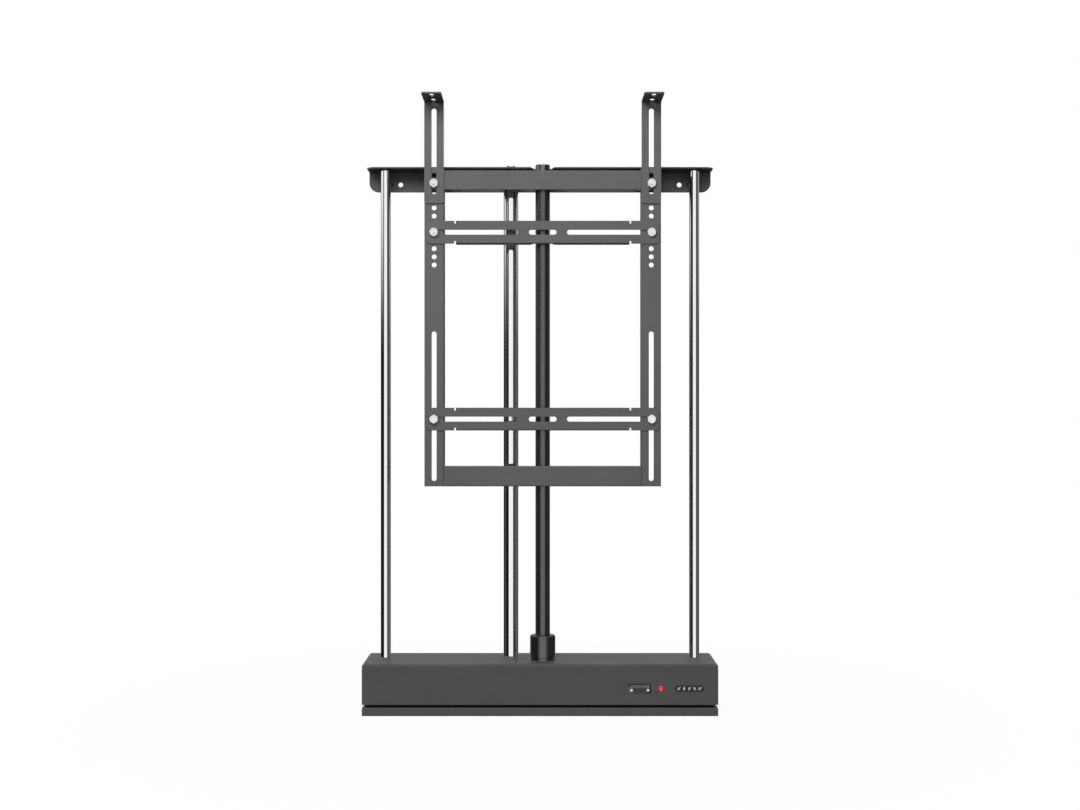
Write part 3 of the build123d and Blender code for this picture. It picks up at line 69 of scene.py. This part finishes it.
# Hexagon bolts of the frame, each with a washer, a threaded end and a nut
bolt = 8 * mm
bolt_flats = 14.6 * mm
bolt_head = 5.6 * mm
bolt_face = 14.3 * mm
bolt_dish = 8.6 * mm
bolt_dish_depth = 0.3 * mm
washer = 16 * mm
washer_sheet = 1.2 * mm
washer_play = 0.2 * mm
washer_edge = 0.2 * mm
nut_flats = 13 * mm
nut_face = 12 * mm
nut_height = 6.5 * mm
nut_dish_depth = 0.4 * mm
chamfer_angle = math.radians(30)
corner_spare = 0.4 * mm
thread_pitch = 1.25 * mm
thread_depth = 0.6 * mm
thread_crest = (0.45, 0.6)
thread_in_head = 1 * mm
web_sheet = 2.5 * mm

# Slotted screws of the terminal strip
terminal_screw = 8.2 * mm
terminal_rise = 2.0 * mm
terminal_dome = 1.7 * mm
terminal_slot = 1.9 * mm
terminal_slot_depth = 1.2 * mm
terminal_slot_length = 1.2 * terminal_screw
terminal_angles = (45, 90, 60, -40, 35)

# Contacts of the socket, in two rows
contact_sleeve = 1.16 * mm
contact_bore = 0.6 * mm
contact_length = 2.6 * mm
contact_pitch = 2.77 * mm
contact_rows = 2.84 * mm
contacts_above = 8
contacts_below = 7

# Patterns of the circuit board, the lamp's lens and the socket: a pair is where a soft border
# starts and ends
board_tracks_x = 5 * mm
board_tracks_y = 7 * mm
lens_core = (0.5 * mm, 2.6 * mm)
insert_half_width = (11.6 * mm, 11.9 * mm)
insert_half_height = (3.5 * mm, 3.8 * mm)
plate_depth = (1.6 * mm, 1.8 * mm)

# White floor: near the object a little of its shading shows, and beyond this border none
floor_size = 30
floor_white = 0.96
floor_border = (0.5, 1.1)

# Lamps: name, place, aim, width, height, watts, and whether they show in mirrored light
LAMPS = (
    ("front_box", (-0.4, -1.5, 1.7), (0, 0, 0.9), 1.3, 0.6, 22, False),
    ("top_box", (0, 0.1, 2.6), (0, 0, 0), 1.4, 1.2, 9, True),
    ("rear_box", (0, 2.6, 0.9), (0, 0, 0.6), 1.6, 1.0, 22, False),
    ("left_box", (-2.3, 0, 1.4), (0, 0, 0.5), 1.2, 1.2, 4, False),
    ("right_box", (2.3, 0, 1.4), (0, 0, 0.5), 1.2, 1.2, 4, False),
)


class Wire:
    """The value of one socket, so that the maths of a finish is written as a sum."""

    def __init__(self, recipe, socket):
        self.recipe = recipe
        self.socket = socket

    def math(self, operation, *values):
        return self.recipe.node("Math", {"operation": operation}, dict(enumerate(values)))

    def __add__(self, other):
        return self.math("ADD", self, other)

    def __sub__(self, other):
        return self.math("SUBTRACT", self, other)

    def __rsub__(self, other):
        return self.math("SUBTRACT", other, self)

    def __mul__(self, other):
        return self.math("MULTIPLY", self, other)

    def __truediv__(self, other):
        return self.math("DIVIDE", self, other)

    def __abs__(self):
        return self.math("ABSOLUTE", self)

    __radd__ = __add__
    __rmul__ = __mul__

    def rise(self, start, end):
        """0 at start, 1 at end, smooth between them."""
        settings = {"interpolation_type": "SMOOTHSTEP"}
        return self.recipe.node("MapRange", settings, {0: self, 1: start, 2: end})

    def distance(self, other):
        """The diagonal of this length and another at right angles to it."""
        return self.math("SQRT", self * self + other * other)


class Recipe:
    """The nodes of one finish or of the studio's light."""

    def __init__(self, owner):
        owner.use_nodes = True
        self.owner = owner
        self.tree = owner.node_tree
        self.tree.nodes.clear()

    def node(self, kind, settings=None, values=None, out=0):
        made = self.tree.nodes.new("ShaderNode" + kind)
        for name, setting in (settings or {}).items():
            setattr(made, name, setting)
        for socket, value in (values or {}).items():
            if isinstance(value, Wire):
                self.tree.links.new(value.socket, made.inputs[socket])
            else:
                made.inputs[socket].default_value = value
        return Wire(self, made.outputs[out]) if made.outputs else made

    def place(self, axis=None):
        """The point on the piece, or one of its coordinates, in metres."""
        point = self.node("TexCoord", out="Object")
        if axis is None:
            return point
        return self.node("SeparateXYZ", values={0: point}, out=axis)

    def grain(self, scale, detail, stretch=None):
        """Noise of about this many grains a metre, drawn out by stretch."""
        point = self.place()
        if stretch:
            point = self.node("Mapping", values={"Vector": point, "Scale": stretch})
        return self.node("TexNoise", values={"Vector": point, "Scale": scale, "Detail": detail})

    def tint(self, share, first, second):
        """A colour between two others."""
        ends = [c if isinstance(c, Wire) else (*c, 1) for c in (first, second)]
        return self.node("Mix", {"data_type": "RGBA"}, {0: share, 6: ends[0], 7: ends[1]}, 2)

    def relief(self, height, depth, strength):
        """A fine relief in the finish, this deep where the height is 1."""
        return self.node("Bump", values={"Height": height, "Distance": depth, "Strength": strength})

    def surface(self, values):
        shader = self.node("BsdfPrincipled", values=values)
        self.node("OutputMaterial", values={"Surface": shader})
        return self.owner


def grey(value):
    return (value, value, value)


def new_finish(name):
    return Recipe(bpy.data.materials.new(name))


def powder_coat(name, dark, light):
    """Charcoal powder coat: a fine orange peel, slightly uneven in tone and gloss."""
    coat = new_finish(name)
    mottle = coat.grain(14, 3)
    peel = coat.grain(900, 2)
    speck = coat.grain(3800, 1)
    tone = coat.tint(mottle.rise(0.3, 0.7), grey(dark), grey(light))
    tone = coat.tint(speck.rise(0.62, 0.8) * 0.35, tone, grey(0.17))
    return coat.surface({
        "Base Color": tone,
        "Roughness": 0.5 + 0.1 * (peel - 0.5) + 0.06 * (mottle - 0.5),
        "Specular IOR Level": 0.3,
        "Normal": coat.relief(peel + 0.4 * speck, 0.06 * mm, 0.35),
    })


def chrome_tube():
    """Bright chrome on drawn tube: a mirror with very faint lines along the tube."""
    chrome = new_finish("chrome_bright")
    lines = chrome.grain(400, 2, (1, 1, 0.004))
    haze = chrome.grain(30, 2)
    return chrome.surface({
        "Base Color": chrome.tint(haze, grey(0.9), (0.92, 0.925, 0.935)),
        "Metallic": 1.0,
        "Roughness": 0.03 + 0.035 * haze.rise(0.45, 0.75) + 0.02 * lines,
    })


def black_tube():
    """Black lacquer on the actuator's tube and its collar."""
    lacquer = new_finish("black_lacquer")
    mottle = lacquer.grain(12, 3)
    return lacquer.surface({
        "Base Color": lacquer.tint(mottle, grey(0.004), grey(0.007)),
        "Roughness": 0.28 + 0.08 * mottle,
        "IOR": 1.7,
        "Specular IOR Level": 1.0,
    })


def groove_shade_black():
    """Primer of the plinth, set back in its groove; its near-black is painted shade of the groove."""
    primer = new_finish("primer_painted_groove_shade")
    dust = primer.grain(500, 3)
    return primer.surface({
        "Base Color": primer.tint(dust, grey(0.004), grey(0.008)),
        "Roughness": 0.7 + 0.1 * dust,
        "Specular IOR Level": 0.1,
    })


def dark_steel():
    """Blackened steel of the drive head, turned and wiped with oil."""
    steel = new_finish("blackened_steel")
    oil = steel.grain(60, 3)
    return steel.surface({
        "Base Color": steel.tint(oil, grey(0.17), grey(0.22)),
        "Metallic": 1.0,
        "Roughness": 0.16 + 0.08 * oil,
    })


def shaded_nickel():
    """Nickel plate of the terminal screws, painted darker than the zinc plate as painted shade on the
    screws.
    """
    nickel = new_finish("shaded_nickel")
    dull = nickel.grain(700, 3)
    return nickel.surface({
        "Base Color": nickel.tint(dull, grey(0.3), grey(0.45)),
        "Metallic": 1.0,
        "Roughness": 0.16 + 0.1 * dull,
    })


def bright_zinc():
    """Bright zinc plate with a faint crystal bloom."""
    zinc = new_finish("zinc_bright")
    bloom = zinc.grain(420, 3)
    return zinc.surface({
        "Base Color": zinc.tint(bloom, (0.84, 0.845, 0.85), (0.93, 0.935, 0.94)),
        "Metallic": 1.0,
        "Roughness": 0.2 + 0.06 * bloom,
        "Normal": zinc.relief(bloom, 0.003 * mm, 0.08),
    })


def machined_steel():
    """Turned steel, with fine rings round its upright axis and a little oil."""
    steel = new_finish("machined_steel")
    rings = steel.grain(2600, 1, (0.05, 0.05, 1))
    oil = steel.grain(45, 3)
    return steel.surface({
        "Base Color": steel.tint(oil, (0.42, 0.43, 0.45), (0.58, 0.585, 0.6)),
        "Metallic": 1.0,
        "Roughness": 0.27 + 0.14 * oil,
        "Normal": steel.relief(rings, 0.02 * mm, 0.4),
    })


def cast_foot():
    """Sand-cast iron feet under dark primer."""
    iron = new_finish("cast_iron_primed")
    sand = iron.grain(650, 4)
    patch = iron.grain(40, 3)
    return iron.surface({
        "Base Color": iron.tint(patch, grey(0.035), grey(0.06)),
        "Metallic": 0.3,
        "Roughness": 0.6 + 0.15 * sand,
        "Normal": iron.relief(sand, 0.25 * mm, 0.6),
    })


def black_plastic():
    """Moulded black plastic with a spark-eroded grain."""
    plastic = new_finish("black_plastic")
    spark = plastic.grain(1900, 3)
    sheen = plastic.grain(60, 2)
    return plastic.surface({
        "Base Color": plastic.tint(sheen, grey(0.014), grey(0.02)),
        "Roughness": 0.4 + 0.12 * spark,
        "Normal": plastic.relief(spark, 0.03 * mm, 0.5),
    })


def nut_bronze():
    """Bronze of the drive nut and the bushes, turned and slightly stained."""
    bronze = new_finish("nut_bronze")
    stain = bronze.grain(120, 4)
    rings = bronze.grain(2400, 1, (0.05, 0.05, 1))
    return bronze.surface({
        "Base Color": bronze.tint(stain, (0.36, 0.19, 0.06), (0.56, 0.34, 0.13)),
        "Metallic": 1.0,
        "Roughness": 0.3 + 0.15 * stain,
        "Normal": bronze.relief(rings, 0.02 * mm, 0.4),
    })


def black_screw():
    """Black oxide of the housing's screws."""
    oxide = new_finish("black_oxide")
    bloom = oxide.grain(700, 3)
    return oxide.surface({
        "Base Color": oxide.tint(bloom, grey(0.02), grey(0.045)),
        "Metallic": 0.85,
        "Roughness": 0.34 + 0.16 * bloom,
        "Normal": oxide.relief(bloom, 0.01 * mm, 0.3),
    })


def board_green():
    """Circuit board: green mask over copper tracks."""
    board = new_finish("board_green")
    x = board.place(0)
    y = board.place(1)
    weave = board.grain(1600, 2)
    track_x = abs(x.math("FRACT", x / board_tracks_x) - 0.5)
    track_y = abs(y.math("FRACT", y / board_tracks_y) - 0.5)
    patch = board.grain(38, 0).rise(0.49, 0.5)
    track = track_x.rise(0.34, 0.37) * patch + track_y.rise(0.38, 0.41) * (1 - patch)
    return board.surface({
        "Base Color": board.tint(track, (0.008, 0.075, 0.025), (0.03, 0.16, 0.05)),
        "Roughness": 0.3 + 0.1 * weave,
        "Normal": board.relief(track + 0.1 * weave, 0.04 * mm, 0.6),
    })


def red_lens():
    """The lamp's red lens, lit at its middle, in a darker rim."""
    lens = new_finish("red_lens")
    low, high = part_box("status_led")
    middle = (low + high) / 2
    across = lens.place(0) - middle.x
    up = lens.place(2) - middle.z
    out = across.distance(up)
    core = 1 - out.rise(*lens_core)
    tone = lens.tint(core, (0.42, 0.0, 0.004), (0.7, 0.01, 0.02))
    return lens.surface({
        "Base Color": tone,
        "Roughness": 0.12 + 0.05 * lens.grain(500, 2),
        "Coat Weight": 0.6,
        "Emission Color": lens.tint(core, (0.75, 0.0, 0.006), (1.0, 0.11, 0.1)),
        "Emission Strength": 1.1,
    })


def socket_shell():
    """The socket: a nickel-plated shell plate round a black insert with two rows of contacts."""
    shell = new_finish("socket_shell")
    low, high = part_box("control_socket")
    middle = (low + high) / 2
    across = abs(shell.place(0) - middle.x)
    up = abs(shell.place(2) - middle.z)
    near, far = plate_depth
    outside = across.rise(*insert_half_width)
    outside = 1 - (1 - outside) * (1 - up.rise(*insert_half_height))
    front = 1 - shell.place(1).rise(low.y + near, low.y + far)
    plate = outside * front
    bloom = shell.grain(500, 3)
    return shell.surface({
        "Base Color": shell.tint(plate, grey(0.02), shell.tint(bloom, grey(0.12), grey(0.17))),
        "Metallic": plate * 0.8,
        "Roughness": 0.32 + 0.14 * bloom,
        "Normal": shell.relief(bloom, 0.01 * mm, 0.3),
    })


FINISHES = {
    "powder_coat": powder_coat("powder_coat_charcoal", 0.107, 0.119),
    "chrome_tube": chrome_tube(),
    "black_tube": black_tube(),
    "bright_zinc": bright_zinc(),
    "steel": machined_steel(),
    "cast_foot": cast_foot(),
    "black_plastic": black_plastic(),
    "nut_bronze": nut_bronze(),
    "black_screw": black_screw(),
    "board_green": board_green(),
    "red_lens": red_lens(),
}


# Modelling

def only(piece):
    """Selects this piece alone."""
    bpy.ops.object.select_all(action="DESELECT")
    piece.select_set(True)
    bpy.context.view_layer.objects.active = piece


def apply_all(piece):
    only(piece)
    for modifier in list(piece.modifiers):
        bpy.ops.object.modifier_apply(modifier=modifier.name)


def dressed(piece, finish, slot, body, *nodes):
    """Gives a piece its finish and its body, in place of the solids it stands for."""
    piece.data.materials.clear()
    piece.data.materials.append(finish)
    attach(piece, body)
    if nodes:
        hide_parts(*nodes)
    return piece


def smooth(piece, angle=smooth_angle):
    """Smooth shading up to this angle, with the flat faces kept flat."""
    only(piece)
    bpy.ops.object.shade_smooth_by_angle(angle=angle)
    flat = piece.modifiers.new("flat_faces", "WEIGHTED_NORMAL")
    flat.keep_sharp = True
    apply_all(piece)


def softened(node, edge, finish=None):
    """A copy of a solid with its cut edges broken by a small round."""
    piece = bpy.data.objects.new(node + "_finished", frame["nodes"][node].data.copy())
    bpy.context.scene.collection.objects.link(piece)
    only(piece)
    bpy.ops.object.mode_set(mode="EDIT")
    bpy.ops.mesh.select_all(action="SELECT")
    bpy.ops.mesh.remove_doubles(threshold=weld_gap)
    bpy.ops.mesh.dissolve_limited(angle_limit=flat_angle)
    bpy.ops.object.mode_set(mode="OBJECT")
    if edge:
        round_off = piece.modifiers.new("broken_edges", "BEVEL")
        round_off.width = edge
        round_off.segments = edge_steps
        round_off.limit_method = "ANGLE"
        round_off.angle_limit = edge_angle
        apply_all(piece)
    smooth(piece)
    return dressed(piece, finish or FINISHES[SLOT_OF[node]], SLOT_OF[node], BODY_OF[node], node)


def turned(name, outline, steps=64):
    """A piece turned about Z from its (radius, height) outline."""
    bpy.ops.object.select_all(action="DESELECT")
    bpy.ops.mesh.primitive_plane_add(size=mm)
    piece = bpy.context.object
    piece.name = name
    bpy.ops.object.mode_set(mode="EDIT")
    bpy.ops.mesh.select_all(action="SELECT")
    bpy.ops.mesh.merge(type="CENTER")
    points = [Vector((radius, 0, height)) for radius, height in outline]
    bpy.ops.transform.translate(value=points[0])
    for start, end in zip(points, points[1:]):
        bpy.ops.mesh.extrude_vertices_move(TRANSFORM_OT_translate={"value": end - start})
    bpy.ops.mesh.select_all(action="SELECT")
    bpy.ops.mesh.spin(steps=steps, angle=math.tau, center=(0, 0, 0), axis=(0, 0, 1))
    bpy.ops.mesh.select_all(action="SELECT")
    bpy.ops.mesh.remove_doubles(threshold=weld_gap)
    bpy.ops.mesh.normals_make_consistent(inside=False)
    bpy.ops.object.mode_set(mode="OBJECT")
    return piece


def hexagon(name, flats, bottom, top):
    """A hexagon bar along Z, with two corners on the X axis."""
    bpy.ops.object.select_all(action="DESELECT")
    bpy.ops.mesh.primitive_cylinder_add(
        vertices=6, radius=flats / math.sqrt(3), depth=top - bottom, location=(0, 0, (top + bottom) / 2)
    )
    bar = bpy.context.object
    bar.name = name
    bar.data.transform(bar.matrix_world)
    bar.matrix_world = Matrix.Identity(4)
    corner = max(bar.data.vertices, key=lambda v: v.co.x).co
    bar.data.transform(Matrix.Rotation(-math.atan2(corner.y, corner.x), 4, "Z"))
    return bar


def cut(piece, tool, operation):
    """Cuts a piece with a tool, or keeps what both share, and clears the tool away."""
    step = piece.modifiers.new("cut", "BOOLEAN")
    step.object = tool
    step.operation = operation
    step.solver = "EXACT"
    apply_all(piece)
    bpy.data.objects.remove(tool)
    return piece


def joined(name, pieces):
    """One piece made of several."""
    only(pieces[0])
    for piece in pieces:
        piece.select_set(True)
    bpy.ops.object.join()
    whole = bpy.context.object
    whole.name = name
    return whole


def placed(master, name, place, turn=0.0):
    """A copy of a piece made along Z, turned to face the front and set at its place."""
    copy = bpy.data.objects.new(name, master.data.copy())
    bpy.context.scene.collection.objects.link(copy)
    tilt = Matrix.Rotation(math.radians(90), 4, "X")
    copy.data.transform(Matrix.Translation(place) @ tilt @ Matrix.Rotation(math.radians(turn), 4, "Z"))
    return copy


def crowned_hexagon(name, flats, bottom, top, face, dish, dish_depth, both_ends):
    """A hexagon head or nut: its corners run out in a turned chamfer."""
    corner = flats / math.sqrt(3) + corner_spare
    drop = (corner - face / 2) * math.tan(chamfer_angle)
    outline = [(0, top - 3 * dish_depth), (dish / 2, top - dish_depth), (dish / 2 + dish_depth, top)]
    outline += [(face / 2, top), (corner, top - drop)]
    if both_ends:
        outline += [(corner, bottom + drop), (face / 2, bottom), (0, bottom)]
    else:
        outline += [(corner, bottom), (0, bottom)]
    return cut(hexagon(name, flats, bottom, top), turned(name + "_crown", outline, steps=72), "INTERSECT")


def threaded_rod(name, diameter, pitch, depth, bottom, top):
    """A rod with thread ridges and a pointed lead at its lower end."""
    crest = diameter / 2
    root = crest - depth
    crest_start, crest_end = [pitch * share for share in thread_crest]
    count = int((top - bottom - pitch) / pitch)
    outline = [(0, bottom), (root - depth / 2, bottom)]
    for i in range(count):
        start = bottom + pitch / 2 + i * pitch
        outline += [(root, start), (crest, start + crest_start), (crest, start + crest_end)]
    outline += [(root, bottom + pitch / 2 + count * pitch), (root, top), (0, top)]
    return turned(name, outline, steps=40)


def frame_bolt(front, nut_seat, back):
    """One bolt along Z with its head up: front, nut seat and back are measured from the washer's seat."""
    seat = washer_sheet
    head = crowned_hexagon(
        "bolt_head", bolt_flats, seat, front, bolt_face, bolt_dish, bolt_dish_depth, False
    )
    bore = bolt / 2 + washer_play
    rim = washer / 2
    ring = turned("bolt_washer", [
        (bore, 0), (rim - washer_edge, 0), (rim, washer_edge), (rim, seat - washer_edge),
        (rim - washer_edge, seat), (bore, seat), (bore, 0),
    ])
    rod = threaded_rod("bolt_thread", bolt, thread_pitch, thread_depth, back, seat + thread_in_head)
    nut = crowned_hexagon(
        "bolt_nut", nut_flats, nut_seat - nut_height, nut_seat, nut_face, bolt, nut_dish_depth, True
    )
    whole = joined("bolt_master", [head, ring, rod, nut])
    smooth(whole, bolt_smooth_angle)
    return whole


def frame_bolts():
    """The three pairs of bolts, from one bolt a pair."""
    for node in ("lid_bolts", "upper_crossbar_bolts", "lower_crossbar_bolts"):
        low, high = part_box(node)
        front = bolt_head + washer_sheet
        seat_y = low.y + front
        web_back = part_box("upright_left")[0].y + web_sheet
        master = frame_bolt(front, seat_y - web_back, seat_y - high.y)
        reach = washer / 2
        ends = []
        for x in (low.x + reach, high.x - reach):
            place = Vector((x, seat_y, (low.z + high.z) / 2))
            ends.append(placed(master, node + "_zinc", place))
        bpy.data.objects.remove(master)
        pair = joined(node + "_zinc", ends)
        dressed(pair, FINISHES["bright_zinc"], "bright_zinc", BODY_OF[node], node)


def terminal_screws():
    """Five slotted cheese-head screws, each left at its own angle."""
    low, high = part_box("terminal_screws")
    radius = terminal_screw / 2
    swell = [math.radians(angle) for angle in range(0, 91, 10)]
    flank = terminal_rise - terminal_dome
    outline = [(0, 0), (radius, 0)]
    outline += [(radius * math.cos(a), flank + terminal_dome * math.sin(a)) for a in swell[:-1]]
    outline += [(0, terminal_rise)]
    master = turned("terminal_master", outline, steps=48)
    bpy.ops.object.select_all(action="DESELECT")
    bpy.ops.mesh.primitive_cube_add(size=1, location=(0, 0, terminal_rise))
    saw = bpy.context.object
    saw.scale = (terminal_slot_length, terminal_slot, terminal_slot_depth * 2)
    bpy.context.view_layer.update()
    cut(master, saw, "DIFFERENCE")
    smooth(master, small_smooth_angle)
    first = low.x + radius
    pitch = (high.x - low.x - terminal_screw) / (len(terminal_angles) - 1)
    screws = []
    for i, angle in enumerate(terminal_angles):
        place = Vector((first + i * pitch, high.y, (low.z + high.z) / 2))
        screws.append(placed(master, "terminal_screw", place, angle))
    bpy.data.objects.remove(master)
    row = joined("terminal_screws_zinc", screws)
    # The screws take the zinc slot in a darker copy, which is painted shade.
    dressed(row, shaded_nickel(), "bright_zinc", BODY_OF["terminal_screws"], "terminal_screws")


def socket_contacts():
    """Fifteen plated sleeves in the socket's insert, eight above seven."""
    low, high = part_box("control_socket")
    middle = (low + high) / 2
    bore = contact_bore / 2
    rim = contact_sleeve / 2
    lip = (rim - bore) / 2
    master = turned("sleeve_master", [
        (bore, 0), (rim, 0), (rim, contact_length - lip), (rim - lip, contact_length),
        (bore, contact_length - lip), (bore, 0),
    ], steps=16)
    sleeves = []
    socket_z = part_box("terminal_screws")[0].z + terminal_screw / 2
    for row, count in ((0.5, contacts_above), (-0.5, contacts_below)):
        for i in range(count):
            x = middle.x + (i - (count - 1) / 2) * contact_pitch
            place = Vector((x, low.y + contact_length, socket_z + row * contact_rows))
            sleeves.append(placed(master, "socket_sleeve", place))
    bpy.data.objects.remove(master)
    grid = joined("socket_contacts", sleeves)
    smooth(grid, small_smooth_angle)
    dressed(grid, FINISHES["bright_zinc"], "bright_zinc", BODY_OF["control_socket"])


# Studio

def card(around, centre, half, soft):
    """A light card that stands round the object, by its bearing from the front in degrees."""
    off = abs(around - math.radians(centre))
    return off.rise(math.radians(half + soft), math.radians(half))


def studio_world():
    """White to the camera. To the object it is a dim room with soft cards round it.

    For mirrored light the cards reach lower, so that bright metal is bright from above too.
    """
    world = bpy.data.worlds.new("studio_room")
    bpy.context.scene.world = world
    room = Recipe(world)
    towards = room.node("TexCoord", out="Generated")
    x, y, z = [room.node("SeparateXYZ", values={0: towards}, out=axis) for axis in range(3)]
    around = x.math("ARCTAN2", x, y * -1)
    mirrored = room.node("LightPath", out="Is Glossy Ray")
    foot_level = z.rise(-0.3, -0.2)
    foot_level = foot_level + (z.rise(-0.85, -0.7) - foot_level) * mirrored
    eye_level = foot_level * (1 - z.rise(0.28, 0.42))
    front = card(around, 0, 29, 9) * eye_level
    right = card(around, 82, 34, 14) * eye_level
    high_left = card(around, -88, 30, 8) * z.rise(0.03, 0.16) * eye_level
    high_right = card(around, 116, 10, 8) * z.rise(0.03, 0.12) * eye_level
    behind = card(abs(around), 159, 9, 6) * eye_level
    backdrop = card(abs(around), 180, 12, 8) * z.rise(0.02, 0.1) * eye_level
    above = z.rise(0.55, 0.8)
    light = 0.008 + 0.95 * front + 0.09 * right + 0.9 * high_left + 0.4 * high_right
    light = light + 0.5 * behind + 0.75 * backdrop + 0.35 * above
    seen = room.node("LightPath", out="Is Camera Ray")
    strength = light * (1 - seen) + seen
    glow = room.node("Background", values={"Color": (1, 1, 1, 1), "Strength": strength})
    room.node("OutputWorld", values={"Surface": glow})


def studio_floor():
    """A white floor that keeps the object's faint shadow and runs out into the white room."""
    bpy.ops.object.select_all(action="DESELECT")
    bpy.ops.mesh.primitive_plane_add(size=floor_size)
    floor = bpy.context.object
    floor.name = "studio_floor"
    paper = new_finish("floor_paper")
    x = paper.place(0)
    y = paper.place(1)
    out = x.distance(y)
    seen = paper.node("LightPath", out="Is Camera Ray")
    lit = paper.node("BsdfDiffuse", values={"Color": (0.8, 0.8, 0.8, 1)})
    white = paper.node("Emission", values={"Color": (1, 1, 1, 1), "Strength": 1.0})
    share = seen * (floor_white + (1 - floor_white) * out.rise(*floor_border))
    paper.node("OutputMaterial", values={
        "Surface": paper.node("MixShader", values={0: share, 1: lit, 2: white}),
    })
    floor.data.materials.append(paper.owner)
    floor.visible_glossy = False
    floor.visible_diffuse = False


def lamp(name, place, aim, width, height, watts, mirrored):
    """A rectangular lamp that the camera doesn't see."""
    data = bpy.data.lights.new(name, "AREA")
    data.shape = "RECTANGLE"
    data.size = width
    data.size_y = height
    data.energy = watts
    box = bpy.data.objects.new(name, data)
    box.location = place
    box.rotation_euler = (Vector(aim) - Vector(place)).to_track_quat("-Z", "Y").to_euler()
    box.visible_camera = False
    box.visible_glossy = mirrored
    bpy.context.scene.collection.objects.link(box)


def studio():
    """The photograph's camera, the white room with its floor, and the lamps."""
    scene = bpy.context.scene
    scene.view_settings.view_transform = "Standard"
    data = bpy.data.cameras.new("photo_camera")
    data.lens = lens_mm
    data.sensor_width = sensor_mm
    camera = bpy.data.objects.new("photo_camera", data)
    camera.location = eye
    camera.rotation_euler = (math.radians(90), 0, 0)
    scene.collection.objects.link(camera)
    scene.camera = camera
    studio_world()
    studio_floor()
    for settings in LAMPS:
        lamp(*settings)


# The object

SHEET_NODES = (
    "base_pan", "base_housing", "head_plate", "frame_hanger_left", "frame_hanger_right",
    "drive_bracket", "drive_plate",
)
FRAME_NODES = (
    "upright_left", "upright_right", "top_bar", "bottom_bar", "upper_crossbar", "lower_crossbar",
    "lid_bracket_left", "lid_bracket_right",
)
ROUND_NODES = (
    "side_tube_left", "side_tube_right", "centre_tube", "side_rod_left", "side_rod_right", "centre_rod",
    "actuator_tube", "push_tube", "actuator_collar", "centre_column_screw", "drive_pin",
    "connector_screws", "housing_screws", "terminal_strip", "power_inlet", "status_led",
    "column_bushes", "actuator_bush", "screw_gear", "motor_pinion", "motor",
)

for name, node in frame["nodes"].items():
    node.data.materials.clear()
    node.data.materials.append(FINISHES[SLOT_OF[name]])
for name in SHEET_NODES:
    softened(name, sheet_edge)
frame_coat = powder_coat("powder_coat_frame", 0.138, 0.152)
for name in FRAME_NODES:
    softened(name, sheet_edge, frame_coat)
for name in ROUND_NODES:
    softened(name, small_edge)
# The plinth is painted near black as painted shade of the groove under the housing.
softened("plinth_frame", sheet_edge, groove_shade_black())
softened("drive_head", small_edge, dark_steel())
softened("head_screws", small_edge, FINISHES["black_screw"])
softened("control_socket", small_edge / 2, socket_shell())
frame_bolts()
terminal_screws()
socket_contacts()
# The tubes mirror the light cards down to their feet, and not the housing with its lamp
for name in ("base_housing", "status_led"):
    bpy.data.objects[name + "_finished"].visible_glossy = False
studio()
